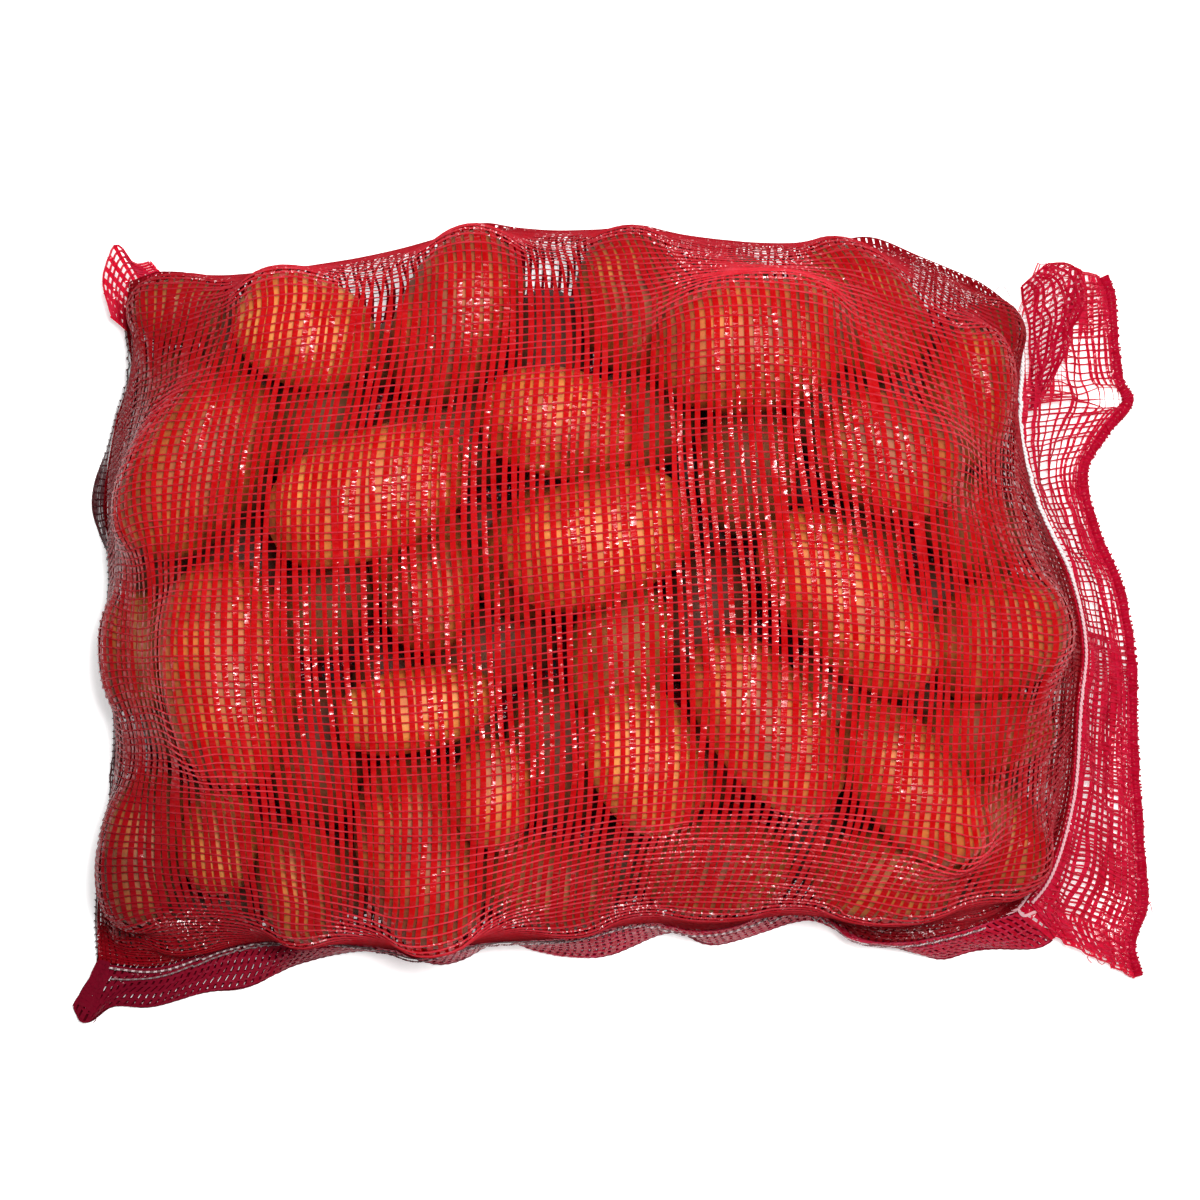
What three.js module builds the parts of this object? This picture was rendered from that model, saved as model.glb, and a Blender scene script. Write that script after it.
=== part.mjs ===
// A flat woven mesh bag filled with potatoes, lying on its side on a surface.
// Millimetres, +Z up.  +X runs from the closed end seam to the stitched mouth,
// +Y from the stitched long side to the folded long side.
import * as THREE from 'three';
import { mergeVertices } from 'three/addons/utils/BufferGeometryUtils.js';

// ---------------------------------------------------------------- driving dimensions
const NET_GAP = 0.9;            // the net runs this far off a potato's skin
const ROUNDNESS = 2.3;          // 2 is an ellipsoid, more is blockier
const LOW_FLATNESS = 0.88;      // height of a potato of the lower layer, part of its width
const TOP_FLATNESS = 0.92;      // the same for the upper layer

const FILL_LEFT = -214;         // sides of the filled space
const FILL_RIGHT = 186;
const FILL_NEAR = -132;
const FILL_FAR = 160;
const EDGE_HEIGHT = 50;         // height of the filling at its sides
const CROWN_HEIGHT = 97;        // and in the middle
const SHOULDER = [10, 80];      // it rises over this stretch in from the sides

const SETTLE_ROUNDS = 160;
const UPPER_SLIDE = 0.25;       // how freely an upper potato is pushed sideways
const SPRING = 0.05;            // pull back to the place it was laid in

const CELLS_LONG = 44;          // net cells from the end seam to the mouth
const CELLS_DEEP = 30;          // net cells from the stitched side to the fold
const WRAP_ROUNDS = 420;
const TENSION = 0.5;            // share of the way a crossing moves to its neighbours' mean
const FOLD_ROWS = 3;            // rows beside the fold that are drawn tight along it
const FOLD_GIVE = 0.08;         // how far they still give crosswise, 1 is as elsewhere
const FOLD_FREE = 0.85;         // past this share of the top the net hangs by its fold
const TOP_WEIGHT = 0.04;        // sag between the potatoes, mm a round
const BOTTOM_WEIGHT = 0.15;     // and of the underside, which the surface carries
const START_HEIGHT = 112;       // the net starts as a box-like pillow this high
const START_ROUND = 0.06;       // its rounded border, part of its length and depth
const START_SLACK = 6;          // and its folded side this far outside the outline
const FOLD_HEIGHT = 30;         // height of the fold before the net is drawn tight
const LAYER_GAP = 1.5;          // upper and lower net, where no potato parts them
const SINK_ROUNDS = 40;         // the top then sinks between the potatoes
const SINK = 1.2;               // by this much a round
const MOST_SINK = 12;           // and this far in all

const SIDE_SEAM_HEIGHT = [8, 24, 15];   // end corner, middle, mouth corner
const MOUTH_HEIGHT = [15, 19, 14];      // stitched side, middle, fold
const END_SEAM_HEIGHT = [8, 10, 14];

const FLANGE_THICK = 1.6;
const FLAP_THICK = 1.6;
const HEM_THICK = 4.2;
const HEM_HALF_GAP = 0.5;
const FLOOR_CLEAR = 0.05;
const THREAD_RADIUS = 0.8;
const SEAM_GAP = 0.9;           // trim starts this far outside the body's seams
const TRIM_GAP = 1.9;           // and its middle stays this far off a potato
const NEAR_SEAM = 9;            // crossings this near a seam are passed by it
const NEAR_LEVEL = 6;

const OUTLINE_SAMPLES = 400;    // steps in which a line's length is counted

const NET_RED = '#c80a28';
const HEM_RED = '#a30a2c';
const THREAD_WHITE = '#e9dedd';

// Upper potatoes, as they show from above:
// x, y, length, width, heading in degrees, depth of the crown under the dome
const UPPER = [
  [-180, 129, 43, 29, 0, 6],
  [-180, 98, 41, 36, 10, 12],
  [-172, 65, 89, 53, 57, 0],
  [-159, -20, 98, 57, 97, 0],
  [-197, -12, 54, 31, 92, 10],
  [-193, -91, 68, 37, 80, 4],
  [-165, -88, 47, 34, 85, 10],
  [-131, -105, 52, 38, 100, 4],
  [-174, -120, 51, 30, 14, 14],
  [-127, 119, 62, 48, -20, 2],
  [-109, 133, 34, 25, 10, 16],
  [-69, 125, 78, 50, 64, 0],
  [-24, 81, 71, 47, -14, 2],
  [-9, 35, 82, 55, 22, 0],
  [-102, 52, 88, 54, 22, 0],
  [-76, 13, 51, 38, 75, 8],
  [-82, -34, 69, 36, 12, 4],
  [-79, -91, 83, 53, 103, 0],
  [-53, -68, 47, 34, 90, 8],
  [-30, -106, 62, 40, -12, 2],
  [10, -54, 66, 48, -65, 3],
  [60, -39, 88, 48, -53, 0],
  [41, -100, 68, 43, 2, 0],
  [116, -65, 82, 44, -50, 2],
  [106, -106, 68, 39, 0, 2],
  [92, 9, 95, 50, -46, 0],
  [52, 113, 84, 57, 8, 0],
  [6, 129, 62, 48, -75, 8],
  [44, 140, 41, 29, 0, 10],
  [99, 127, 68, 47, -40, 4],
  [108, 69, 66, 51, -25, 2],
  [140, 92, 61, 38, 85, 6],
  [146, 117, 41, 30, 30, 14],
  [145, 39, 52, 40, -50, 6],
  [153, -6, 64, 51, 25, 0],
  [149, -47, 60, 36, 10, 6],
  [153, -83, 52, 40, -60, 2],
  [140, -107, 44, 30, 0, 10],
];

// Lower potatoes, on the surface the bag lies on: x, y, length, width, heading
const LOWER = [
  [44, 64, 61, 45, 90],
  [-3, -12, 66, 45, 80],
  [35, 15, 61, 41, 70],
  [-54, -12, 61, 41, 20],
  [-122, 83, 61, 41, 70],
  [-114, 2, 61, 43, 60],
  [-122, -46, 66, 45, 90],
  [-31, -50, 66, 45, 95],
  [2, -97, 43, 32, 50],
  [78, -86, 45, 34, 80],
  [-30, 127, 57, 38, 90],
  [129, -27, 51, 38, 0],
  [-155, 15, 57, 41, 50],
  [-172, -31, 61, 46, 40],
  [8, 27, 57, 43, 20],
  [-75, 77, 70, 49, 10],
  [89, 93, 49, 38, 80],
  [12, 93, 61, 47, 20],
  [-75, -73, 61, 45, 10],
  [35, -56, 68, 47, 10],
  [83, 27, 66, 47, 20],
  [91, -31, 66, 47, 70],
  [-25, 27, 61, 45, 60],
  [-93, 27, 61, 45, 100],
  [-193, 36, 55, 36, 80],
];

// Outlines seen from above, each from the end seam to the mouth or from the
// stitched side to the fold
const SIDE_SEAM = [
  [-217, -141], [-193, -143], [-164, -133], [-148, -130], [-99, -134], [-84, -138], [-62, -132],
  [-19, -129], [12, -122], [28, -127], [48, -125], [70, -115], [83, -118], [98, -130], [118, -132],
  [140, -128], [165, -120],
];
const FOLD = [
  [-204, 143], [-190, 147], [-157, 142], [-132, 148], [-99, 151], [-83, 155], [-58, 166],
  [-41, 163], [-20, 159], [8, 165], [30, 158], [50, 158], [70, 154], [83, 156], [103, 161],
  [124, 153], [149, 143], [157, 138], [165, 131],
];
const MOUTH = [
  [165, -120], [177, -106], [187, -73], [190, -31], [192, -10], [186, 20], [173, 48], [164, 80],
  [166, 108], [165, 131],
];
const END_SEAM = [
  [-217, -141], [-218, -121], [-215, -92], [-208, -64], [-209, -43], [-214, -14], [-212, 27],
  [-215, 50], [-209, 88], [-203, 106], [-205, 122], [-204, 143],
];
const FLANGE_EDGE = [
  [-229, -160], [-225, -167], [-214, -160], [-197, -160], [-175, -154], [-155, -151], [-135, -142],
  [-109, -137], [-92, -138], [-75, -142], [-65, -140], [-50, -133], [-33, -137], [-8, -139],
  [17, -130], [25, -129], [38, -134], [50, -132], [76, -124], [86, -125], [101, -133], [118, -136],
  [134, -140], [151, -136], [176, -135], [184, -130],
];
const HEM_EDGE = [
  [220, -147], [217, -134], [222, -118], [221, -98], [218, -50], [217, -12], [211, 19], [203, 37],
  [197, 64], [206, 80], [216, 94], [212, 103], [210, 118], [208, 140], [205, 147],
];
const HEM_WIDTH = 6.5;
const FLAP_TOP = [175, 151];        // where the flap's upper edge meets the stitching
const FLAP_BOTTOM = [182, -130];
const EAR_START = [[-211, 128], [-207, 144], [-197, 150]];     // along the corner of the body
const EAR_END = [[-212, 129], [-215, 144], [-209, 159], [-203, 150], [-196, 151]];

// ---------------------------------------------------------------- small helpers
const mix = (a, b, t) => a + (b - a) * t;

function smooth(low, high, x) {
  const t = Math.min(1, Math.max(0, (x - low) / (high - low)));
  return t * t * (3 - 2 * t);
}

// From the first value over the second, halfway, to the third
function threeStep([first, second, third], t) {
  return t < 0.5 ? mix(first, second, smooth(0, 0.5, t)) : mix(second, third, smooth(0.5, 1, t));
}

// A smooth line through the points, read by t from 0 to 1 along its length
function outline(points, heights = [0, 0, 0]) {
  const places = points.map(([x, y]) => new THREE.Vector3(x, y, 0));
  const curve = new THREE.CatmullRomCurve3(places, false, 'centripetal');
  curve.arcLengthDivisions = OUTLINE_SAMPLES;
  return (t) => {
    const p = curve.getPointAt(t);
    p.z = threeStep(heights, t);
    return p;
  };
}

// ---------------------------------------------------------------- the filling
function dome(x, y) {
  const inside = Math.min(x - FILL_LEFT, FILL_RIGHT - x, y - FILL_NEAR, FILL_FAR - y);
  return mix(EDGE_HEIGHT, CROWN_HEIGHT, smooth(...SHOULDER, inside));
}

function layPotatoes() {
  const upper = UPPER.map(([x, y, length, width, heading, depth]) => {
    const height = width * TOP_FLATNESS;
    const z = Math.max(dome(x, y) - depth - height / 2, height / 2 + NET_GAP);
    return { x, y, z, length, width, height, heading, slide: UPPER_SLIDE };
  });
  const lower = LOWER.map(([x, y, length, width, heading]) => {
    const height = width * LOW_FLATNESS;
    return { x, y, z: height / 2 + NET_GAP, length, width, height, heading, slide: 1 };
  });
  return [...upper, ...lower].map((p) => {
    const turn = THREE.MathUtils.degToRad(p.heading);
    const at = new THREE.Vector3(p.x, p.y, p.z);
    return { ...p, cos: Math.cos(turn), sin: Math.sin(turn), at, home: at.clone() };
  });
}

// Each potato counts as three balls in a row
const BALL_STEPS = [-0.6, 0, 0.6];
const BALL_SIZES = [0.8, 1, 0.8];

function balls(potato) {
  return BALL_STEPS.map((step, k) => ({
    x: potato.at.x + potato.cos * step * potato.length / 2,
    y: potato.at.y + potato.sin * step * potato.length / 2,
    z: potato.at.z,
    r: BALL_SIZES[k] * (potato.width + potato.height) / 4,
  }));
}

function deepestOverlap(a, b) {
  let best = { depth: 0, x: 0, y: 0, z: 0 };
  for (const p of a) {
    for (const q of b) {
      const [dx, dy, dz] = [p.x - q.x, p.y - q.y, p.z - q.z];
      const apart = Math.hypot(dx, dy, dz) + 1e-9;
      const depth = p.r + q.r - apart;
      if (depth > best.depth) {
        best = { depth, x: dx / apart, y: dy / apart, z: dz / apart };
      }
    }
  }
  return best;
}

// Potatoes that overlap push each other apart until the heap has settled
function settle(potatoes) {
  for (let round = 0; round < SETTLE_ROUNDS; round++) {
    const chains = potatoes.map(balls);
    const moves = potatoes.map(() => new THREE.Vector3());
    for (let a = 0; a < potatoes.length; a++) {
      for (let b = a + 1; b < potatoes.length; b++) {
        const hit = deepestOverlap(chains[a], chains[b]);
        const push = new THREE.Vector3(hit.x, hit.y, hit.z).multiplyScalar(hit.depth / 4);
        moves[a].add(push);
        moves[b].sub(push);
      }
    }
    potatoes.forEach((potato, k) => {
      const { at, home, slide } = potato;
      at.x += moves[k].x * slide + (home.x - at.x) * SPRING;
      at.y += moves[k].y * slide + (home.y - at.y) * SPRING;
      at.z += moves[k].z + (home.z - at.z) * SPRING / 4;
      at.z = Math.max(at.z, potato.height / 2 + NET_GAP);
    });
  }
  return potatoes;
}

// A point inside a potato, or nearer than the gap, goes straight out of it
function pushOut(point, potato, gap) {
  const dx = point.x - potato.at.x;
  const dy = point.y - potato.at.y;
  const dz = point.z - potato.at.z;
  const u = Math.abs(dx * potato.cos + dy * potato.sin) / (potato.length / 2 + gap);
  const v = Math.abs(dy * potato.cos - dx * potato.sin) / (potato.width / 2 + gap);
  const w = Math.abs(dz) / (potato.height / 2 + gap);
  if (u >= 1 || v >= 1 || w >= 1) return;
  const q = (u ** ROUNDNESS + v ** ROUNDNESS + w ** ROUNDNESS) ** (1 / ROUNDNESS);
  if (q < 1 && q > 1e-3) {
    point.set(potato.at.x + dx / q, potato.at.y + dy / q, potato.at.z + dz / q);
  }
}

const potatoes = settle(layPotatoes());

function clearOf(point, gap) {
  for (const potato of potatoes) pushOut(point, potato, gap);
  return point;
}

function seam(points, heights) {
  const line = outline(points, heights);
  return (t) => clearOf(line(t), NET_GAP);
}

const sideSeam = seam(SIDE_SEAM, SIDE_SEAM_HEIGHT);
const fold = outline(FOLD);
const mouth = seam(MOUTH, MOUTH_HEIGHT);
const endSeam = seam(END_SEAM, END_SEAM_HEIGHT);

// ---------------------------------------------------------------- the net
// Column i runs from the end seam to the mouth; row k goes from the stitched
// side over the top to the fold, and back underneath to the stitched side.
const ROWS = 2 * CELLS_DEEP;

function bulge(t) {
  const near = Math.min(1, Math.min(t, 1 - t) / START_ROUND);
  return Math.sqrt(1 - (1 - near) ** 2);
}

function startPoint(i, k) {
  const s = i / CELLS_LONG;
  const t = 1 - Math.abs(k / CELLS_DEEP - 1);
  const [south, north, west, east] = [sideSeam(s), fold(s), endSeam(t), mouth(t)];
  const point = south.clone().lerp(north, t).add(west.clone().lerp(east, s));
  point.sub(sideSeam(0).lerp(sideSeam(1), s).lerp(fold(0).lerp(fold(1), s), t));
  const border = mix(mix(south.z, FOLD_HEIGHT, t), s < 0.5 ? west.z : east.z, Math.abs(2 * s - 1));
  const swell = bulge(s) * bulge(t);
  point.y += START_SLACK * bulge(s) * smooth(0.7, 1, t);
  point.z = k < CELLS_DEEP ? mix(border, START_HEIGHT, swell) : mix(border, 0, swell);
  return point;
}

function sag(k) {
  if (k > CELLS_DEEP) return BOTTOM_WEIGHT;
  return k < CELLS_DEEP * FOLD_FREE ? TOP_WEIGHT : 0;
}

// Height of the potatoes at a place, seen from above
function crownAt(x, y) {
  let top = 0;
  for (const { at, cos, sin, length, width, height } of potatoes) {
    const [dx, dy] = [x - at.x, y - at.y];
    const u = Math.abs(dx * cos + dy * sin) / (length / 2 + NET_GAP);
    const v = Math.abs(dy * cos - dx * sin) / (width / 2 + NET_GAP);
    const rest = 1 - u ** ROUNDNESS - v ** ROUNDNESS;
    if (rest > 0) top = Math.max(top, at.z + (height / 2 + NET_GAP) * rest ** (1 / ROUNDNESS));
  }
  return top;
}

// Away from the seams the top sinks straight down into the gaps, as far as it may
function sinkBetween(net) {
  const first = net.map((column) => column.map((p) => p.z));
  const lowest = net.map((column, i) => column.map((p, k) => {
    const free = smooth(1, 5, Math.min(i, CELLS_LONG - i, k));
    return Math.min(p.z, Math.max(crownAt(p.x, p.y), p.z - MOST_SINK * free));
  }));
  for (let round = 0; round < SINK_ROUNDS; round++) {
    const z = net.map((column) => column.map((p) => p.z));
    for (let i = 1; i < CELLS_LONG; i++) {
      for (let k = 1; k < CELLS_DEEP * FOLD_FREE; k++) {
        const mean = (z[i - 1][k] + z[i + 1][k] + z[i][k - 1] + z[i][k + 1]) / 4;
        net[i][k].z = Math.min(first[i][k], Math.max(lowest[i][k], mean - SINK));
      }
    }
  }
  return net;
}

// The creased fold stands out to its line where no potato carries it
const foldLine = Array.from({ length: OUTLINE_SAMPLES + 1 }, (_, n) => fold(n / OUTLINE_SAMPLES));

function foldDepth(x) {
  const next = Math.max(1, foldLine.findIndex((p) => p.x >= x));
  const [a, b] = [foldLine[next - 1], foldLine[next]];
  return mix(a.y, b.y, (x - a.x) / (b.x - a.x));
}

function wrap() {
  const net = [];
  for (let i = 0; i <= CELLS_LONG; i++) {
    net.push([]);
    for (let k = 0; k <= ROWS; k++) net[i].push(startPoint(i, k));
  }
  for (let round = 0; round < WRAP_ROUNDS; round++) {
    for (let i = 1; i < CELLS_LONG; i++) {
      for (let k = 1; k < ROWS; k++) {
        const here = net[i][k];
        const across = 0.25 * mix(FOLD_GIVE, 1, smooth(0, FOLD_ROWS, Math.abs(k - CELLS_DEEP)));
        const mean = net[i - 1][k].clone().add(net[i + 1][k]).multiplyScalar(0.5 - across);
        mean.addScaledVector(net[i][k - 1], across).addScaledVector(net[i][k + 1], across);
        here.lerp(mean, TENSION);
        here.z -= sag(k);
        clearOf(here, NET_GAP);
        here.z = Math.max(here.z, 0);
      }
      const crease = net[i][CELLS_DEEP];
      crease.y = Math.max(crease.y, foldDepth(crease.x));
    }
    for (let i = 1; i < CELLS_LONG; i++) {
      for (let k = 1; k < CELLS_DEEP; k++) {
        const [over, under] = [net[i][k], net[i][ROWS - k]];
        const short = LAYER_GAP - (over.z - under.z);
        if (short > 0) {
          over.z += short / 2;
          under.z = Math.max(0, under.z - short / 2);
        }
      }
    }
  }
  return net;
}

const net = sinkBetween(wrap());
const crossings = net.flat();

function closedMesh(points, faces) {
  const geometry = new THREE.BufferGeometry();
  const numbers = points.flatMap((p) => [p.x, p.y, p.z]);
  geometry.setAttribute('position', new THREE.Float32BufferAttribute(numbers, 3));
  geometry.setIndex(faces);
  const merged = mergeVertices(geometry, 1e-4);
  const index = Array.from(merged.index.array);
  const kept = [];
  for (let f = 0; f < index.length; f += 3) {
    const [a, b, c] = index.slice(f, f + 3);
    if (a !== b && b !== c && c !== a) kept.push(a, b, c);
  }
  merged.setIndex(kept);
  merged.computeVertexNormals();
  return merged;
}

// A quad is split along its shorter diagonal, so that it bends with the form
function quad(points, a, b, c, d) {
  const short = points[a].distanceTo(points[c]) <= points[b].distanceTo(points[d]);
  return short ? [a, b, c, a, c, d] : [a, b, d, b, c, d];
}

function netBody() {
  const at = (i, k) => i * (ROWS + 1) + k;
  const faces = [];
  for (let i = 0; i < CELLS_LONG; i++) {
    for (let k = 0; k < ROWS; k++) {
      faces.push(...quad(crossings, at(i, k), at(i + 1, k), at(i + 1, k + 1), at(i, k + 1)));
    }
  }
  return closedMesh(crossings, faces);
}

// ---------------------------------------------------------------- thin trim
// A sheet of even thickness round a grid of middle points
function slab(grid, thick) {
  const [m, n] = [grid.length, grid[0].length];
  const points = [];
  for (const side of [1, -1]) {
    for (let i = 0; i < m; i++) {
      for (let j = 0; j < n; j++) {
        const along = grid[Math.min(i + 1, m - 1)][j].clone().sub(grid[Math.max(i - 1, 0)][j]);
        const across = grid[i][Math.min(j + 1, n - 1)].clone().sub(grid[i][Math.max(j - 1, 0)]);
        const normal = along.cross(across).normalize();
        points.push(grid[i][j].clone().addScaledVector(normal, side * thick / 2));
      }
    }
  }
  const at = (side, i, j) => side * m * n + i * n + j;
  const faces = [];
  for (let i = 0; i < m - 1; i++) {
    for (let j = 0; j < n - 1; j++) {
      faces.push(...quad(points, at(0, i, j), at(0, i + 1, j), at(0, i + 1, j + 1), at(0, i, j + 1)));
      faces.push(...quad(points, at(1, i, j), at(1, i, j + 1), at(1, i + 1, j + 1), at(1, i + 1, j)));
    }
  }
  const wall = (i, j, p, q) => {
    faces.push(...quad(points, at(1, i, j), at(1, p, q), at(0, p, q), at(0, i, j)));
  };
  for (let i = 0; i < m - 1; i++) {
    wall(i, 0, i + 1, 0);
    wall(i + 1, n - 1, i, n - 1);
  }
  for (let j = 0; j < n - 1; j++) {
    wall(m - 1, j, m - 1, j + 1);
    wall(0, j + 1, 0, j);
  }
  return closedMesh(points, faces);
}

// The level direction out of an outline, on its right-hand side
function outward(line, t, turn) {
  const step = 0.004;
  const along = line(Math.min(1, t + step)).sub(line(Math.max(0, t - step)));
  return new THREE.Vector3(along.y * turn, -along.x * turn, 0).normalize();
}

// A point beside a seam, out past every net crossing close to it
function offset(line, t, turn, out, up) {
  const point = line(t);
  const away = outward(line, t, turn);
  point.z += up;
  let reach = 0;
  for (const crossing of crossings) {
    const beside = crossing.clone().sub(point);
    const close = beside.length() < NEAR_SEAM && Math.abs(beside.z) < NEAR_LEVEL;
    if (close) reach = Math.max(reach, beside.dot(away));
  }
  return clearOf(point.addScaledVector(away, reach + out), TRIM_GAP);
}

function strip(columns, rows, place) {
  const grid = [];
  for (let i = 0; i <= columns; i++) {
    grid.push([]);
    for (let j = 0; j <= rows; j++) grid[i].push(place(i / columns, j / rows));
  }
  return grid;
}

const FLANGE_STEPS = 66;
const FLANGE_DROP = -1.2;

function sideFlange() {
  const edge = outline(FLANGE_EDGE);
  const low = FLANGE_THICK / 2 + FLOOR_CLEAR;
  return slab(strip(FLANGE_STEPS, 2, (t, out) => {
    const top = offset(sideSeam, t, 1, SEAM_GAP, FLANGE_DROP);
    const point = top.clone().lerp(edge(t), out);
    point.z = mix(top.z, low + 0.4, out ** 1.2) + 0.6 * Math.sin(40 * t) * out * (1 - out);
    return clearOf(point, TRIM_GAP + 0.4);
  }), FLANGE_THICK);
}

const END_STEPS = 30;
const PEEPS = [[0.28, 4], [0.68, 5]];      // where the end flange shows past the bag, and how far
const PEEP_SPREAD = 0.06;
const END_REACH = 3;

function endFlange() {
  const low = FLANGE_THICK / 2 + FLOOR_CLEAR;
  return slab(strip(END_STEPS, 2, (t, out) => {
    const at = mix(0.03, 0.95, t);
    const peeps = PEEPS.map(([place, size]) => size * Math.exp(-(((at - place) / PEEP_SPREAD) ** 2)));
    const top = offset(endSeam, at, -1, SEAM_GAP, FLANGE_DROP);
    const point = offset(endSeam, at, -1, mix(SEAM_GAP, END_REACH + peeps[0] + peeps[1], out), 0);
    point.z = mix(top.z, low + 0.3, out);
    return point;
  }), FLANGE_THICK);
}

const FLAP_LONG = 44;
const FLAP_DEEP = 6;
const FLAP_END_DROP = 4.5;
const STITCHED = [0.03, 0.99];             // the stretch of the mouth that the stitching takes

function hemCurves() {
  const edge = outline(HEM_EDGE);
  return {
    edge,
    inner: (t) => edge(t).addScaledVector(outward(edge, t, -1), HEM_WIDTH),
  };
}

// The flap starts along the stitching and runs on a little past both ends of it
function flapRoot(t) {
  const [low, high] = [0.04, 0.95];
  const seamPoint = (share) => offset(mouth, mix(...STITCHED, share), 1, SEAM_GAP, FLANGE_DROP);
  if (t < low) {
    const start = new THREE.Vector3(...FLAP_BOTTOM, MOUTH_HEIGHT[0] - FLAP_END_DROP);
    return start.lerp(seamPoint(0), t / low);
  }
  if (t > high) {
    const end = new THREE.Vector3(...FLAP_TOP, MOUTH_HEIGHT[2] - FLAP_END_DROP);
    return seamPoint(1).lerp(end, (t - high) / (1 - high));
  }
  return seamPoint((t - low) / (high - low));
}

const WAVE_HEIGHT = 2.2;

function flapHeight(t, out, top) {
  const rest = HEM_THICK / 2 + 1.2;
  const waves = Math.sin(31 * t + 2) * Math.sin(Math.PI * out) + 0.6 * Math.sin(53 * t) * out * (1 - out);
  return mix(top, rest, smooth(0, 0.75, out)) + WAVE_HEIGHT * waves;
}

function mouthFlap() {
  const { inner, edge } = hemCurves();
  return slab(strip(FLAP_LONG, FLAP_DEEP, (t, out) => {
    const top = flapRoot(t);
    const end = inner(t).addScaledVector(outward(edge, t, -1), HEM_HALF_GAP);
    const point = top.clone().lerp(end, out);
    point.z = flapHeight(t, out, top.z);
    return point;
  }), FLAP_THICK);
}

function mouthHem() {
  const { inner, edge } = hemCurves();
  const low = HEM_THICK / 2 + FLOOR_CLEAR;
  return slab(strip(FLAP_LONG, 1, (t, out) => {
    const start = inner(t).addScaledVector(outward(edge, t, 1), HEM_HALF_GAP);
    const point = start.lerp(edge(t), out);
    point.z = low + 0.5 * (1 + Math.sin(31 * t + 2)) * (1 - out * 0.5);
    return point;
  }), HEM_THICK);
}

function cornerEar() {
  const [start, end] = [outline(EAR_START), outline(EAR_END)];
  return slab(strip(10, 2, (t, out) => {
    const point = end(1 - t).lerp(start(1 - t), out);
    point.z = mix(16, 12, out) + 1.2 * Math.sin(3 * out + 4 * t);
    return point;
  }), FLANGE_THICK);
}

class Route extends THREE.Curve {
  constructor(place) {
    super();
    this.place = place;
  }

  getPoint(t, target = new THREE.Vector3()) {
    return target.copy(this.place(t));
  }
}

function thread(place, steps) {
  const section = new THREE.Shape();
  const sides = 6;
  for (let k = 0; k < sides; k++) {
    const angle = 2 * Math.PI * k / sides;
    const [x, y] = [THREAD_RADIUS * Math.cos(angle), THREAD_RADIUS * Math.sin(angle)];
    if (k === 0) section.moveTo(x, y);
    else section.lineTo(x, y);
  }
  section.closePath();
  return new THREE.ExtrudeGeometry(section, { steps, extrudePath: new Route(place) });
}

const THREAD_OUT = 2.0;
const THREAD_UP = 1.2;

function sideThread() {
  return thread((t) => offset(sideSeam, mix(0.01, 0.965, t), 1, THREAD_OUT, THREAD_UP), 60);
}

function mouthThread() {
  return thread((t) => offset(mouth, mix(...STITCHED, t), 1, THREAD_OUT, THREAD_UP), FLAP_LONG);
}

// ---------------------------------------------------------------- the scene
function piece(name, geometry, color, roughness) {
  const material = new THREE.MeshStandardMaterial({ color, roughness, metalness: 0 });
  const mesh = new THREE.Mesh(geometry, material);
  mesh.name = name;
  return mesh;
}

function bagOfPotatoes() {
  const group = new THREE.Group();
  group.add(
    piece('filled_net', netBody(), NET_RED, 0.5),
    piece('side_seam', sideFlange(), NET_RED, 0.5),
    piece('end_seam', endFlange(), HEM_RED, 0.5),
    piece('corner_ear', cornerEar(), NET_RED, 0.5),
    piece('mouth_flap', mouthFlap(), NET_RED, 0.5),
    piece('mouth_hem', mouthHem(), HEM_RED, 0.5),
    piece('side_thread', sideThread(), THREAD_WHITE, 0.8),
    piece('mouth_thread', mouthThread(), THREAD_WHITE, 0.8),
  );
  const box = new THREE.Box3().setFromObject(group);
  const middle = box.getCenter(new THREE.Vector3());
  group.position.set(-middle.x, -middle.y, -box.min.z);
  group.updateMatrixWorld(true);
  return group;
}

const group = bagOfPotatoes();
export default group;
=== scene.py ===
"""A red woven mesh bag filled with potatoes, lying flat.

The layout is in millimetres, as in the part's source: +X from the closed end seam to the
stitched mouth, +Y from the stitched long side to the folded one. Pieces are made in metres.
"""
import math

import bmesh
import bpy
import numpy as np
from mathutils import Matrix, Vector, kdtree, noise


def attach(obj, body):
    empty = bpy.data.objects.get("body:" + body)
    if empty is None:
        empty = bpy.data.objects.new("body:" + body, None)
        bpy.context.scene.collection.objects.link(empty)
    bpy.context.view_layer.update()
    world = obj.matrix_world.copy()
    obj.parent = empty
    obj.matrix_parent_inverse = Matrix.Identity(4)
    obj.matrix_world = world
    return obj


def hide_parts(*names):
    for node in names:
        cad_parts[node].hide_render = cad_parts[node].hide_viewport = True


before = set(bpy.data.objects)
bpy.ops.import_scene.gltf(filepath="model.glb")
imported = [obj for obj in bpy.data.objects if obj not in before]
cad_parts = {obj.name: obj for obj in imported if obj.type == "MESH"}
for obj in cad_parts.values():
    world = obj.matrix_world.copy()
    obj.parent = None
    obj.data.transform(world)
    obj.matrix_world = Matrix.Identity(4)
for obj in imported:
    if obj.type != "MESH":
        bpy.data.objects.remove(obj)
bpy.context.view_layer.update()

# ------------------------------------------------------------ the layout, as in the part's source
CENTRED = np.array([3.48, 0.13, 0.0])   # the source moves the whole bag by this, to centre it

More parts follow.
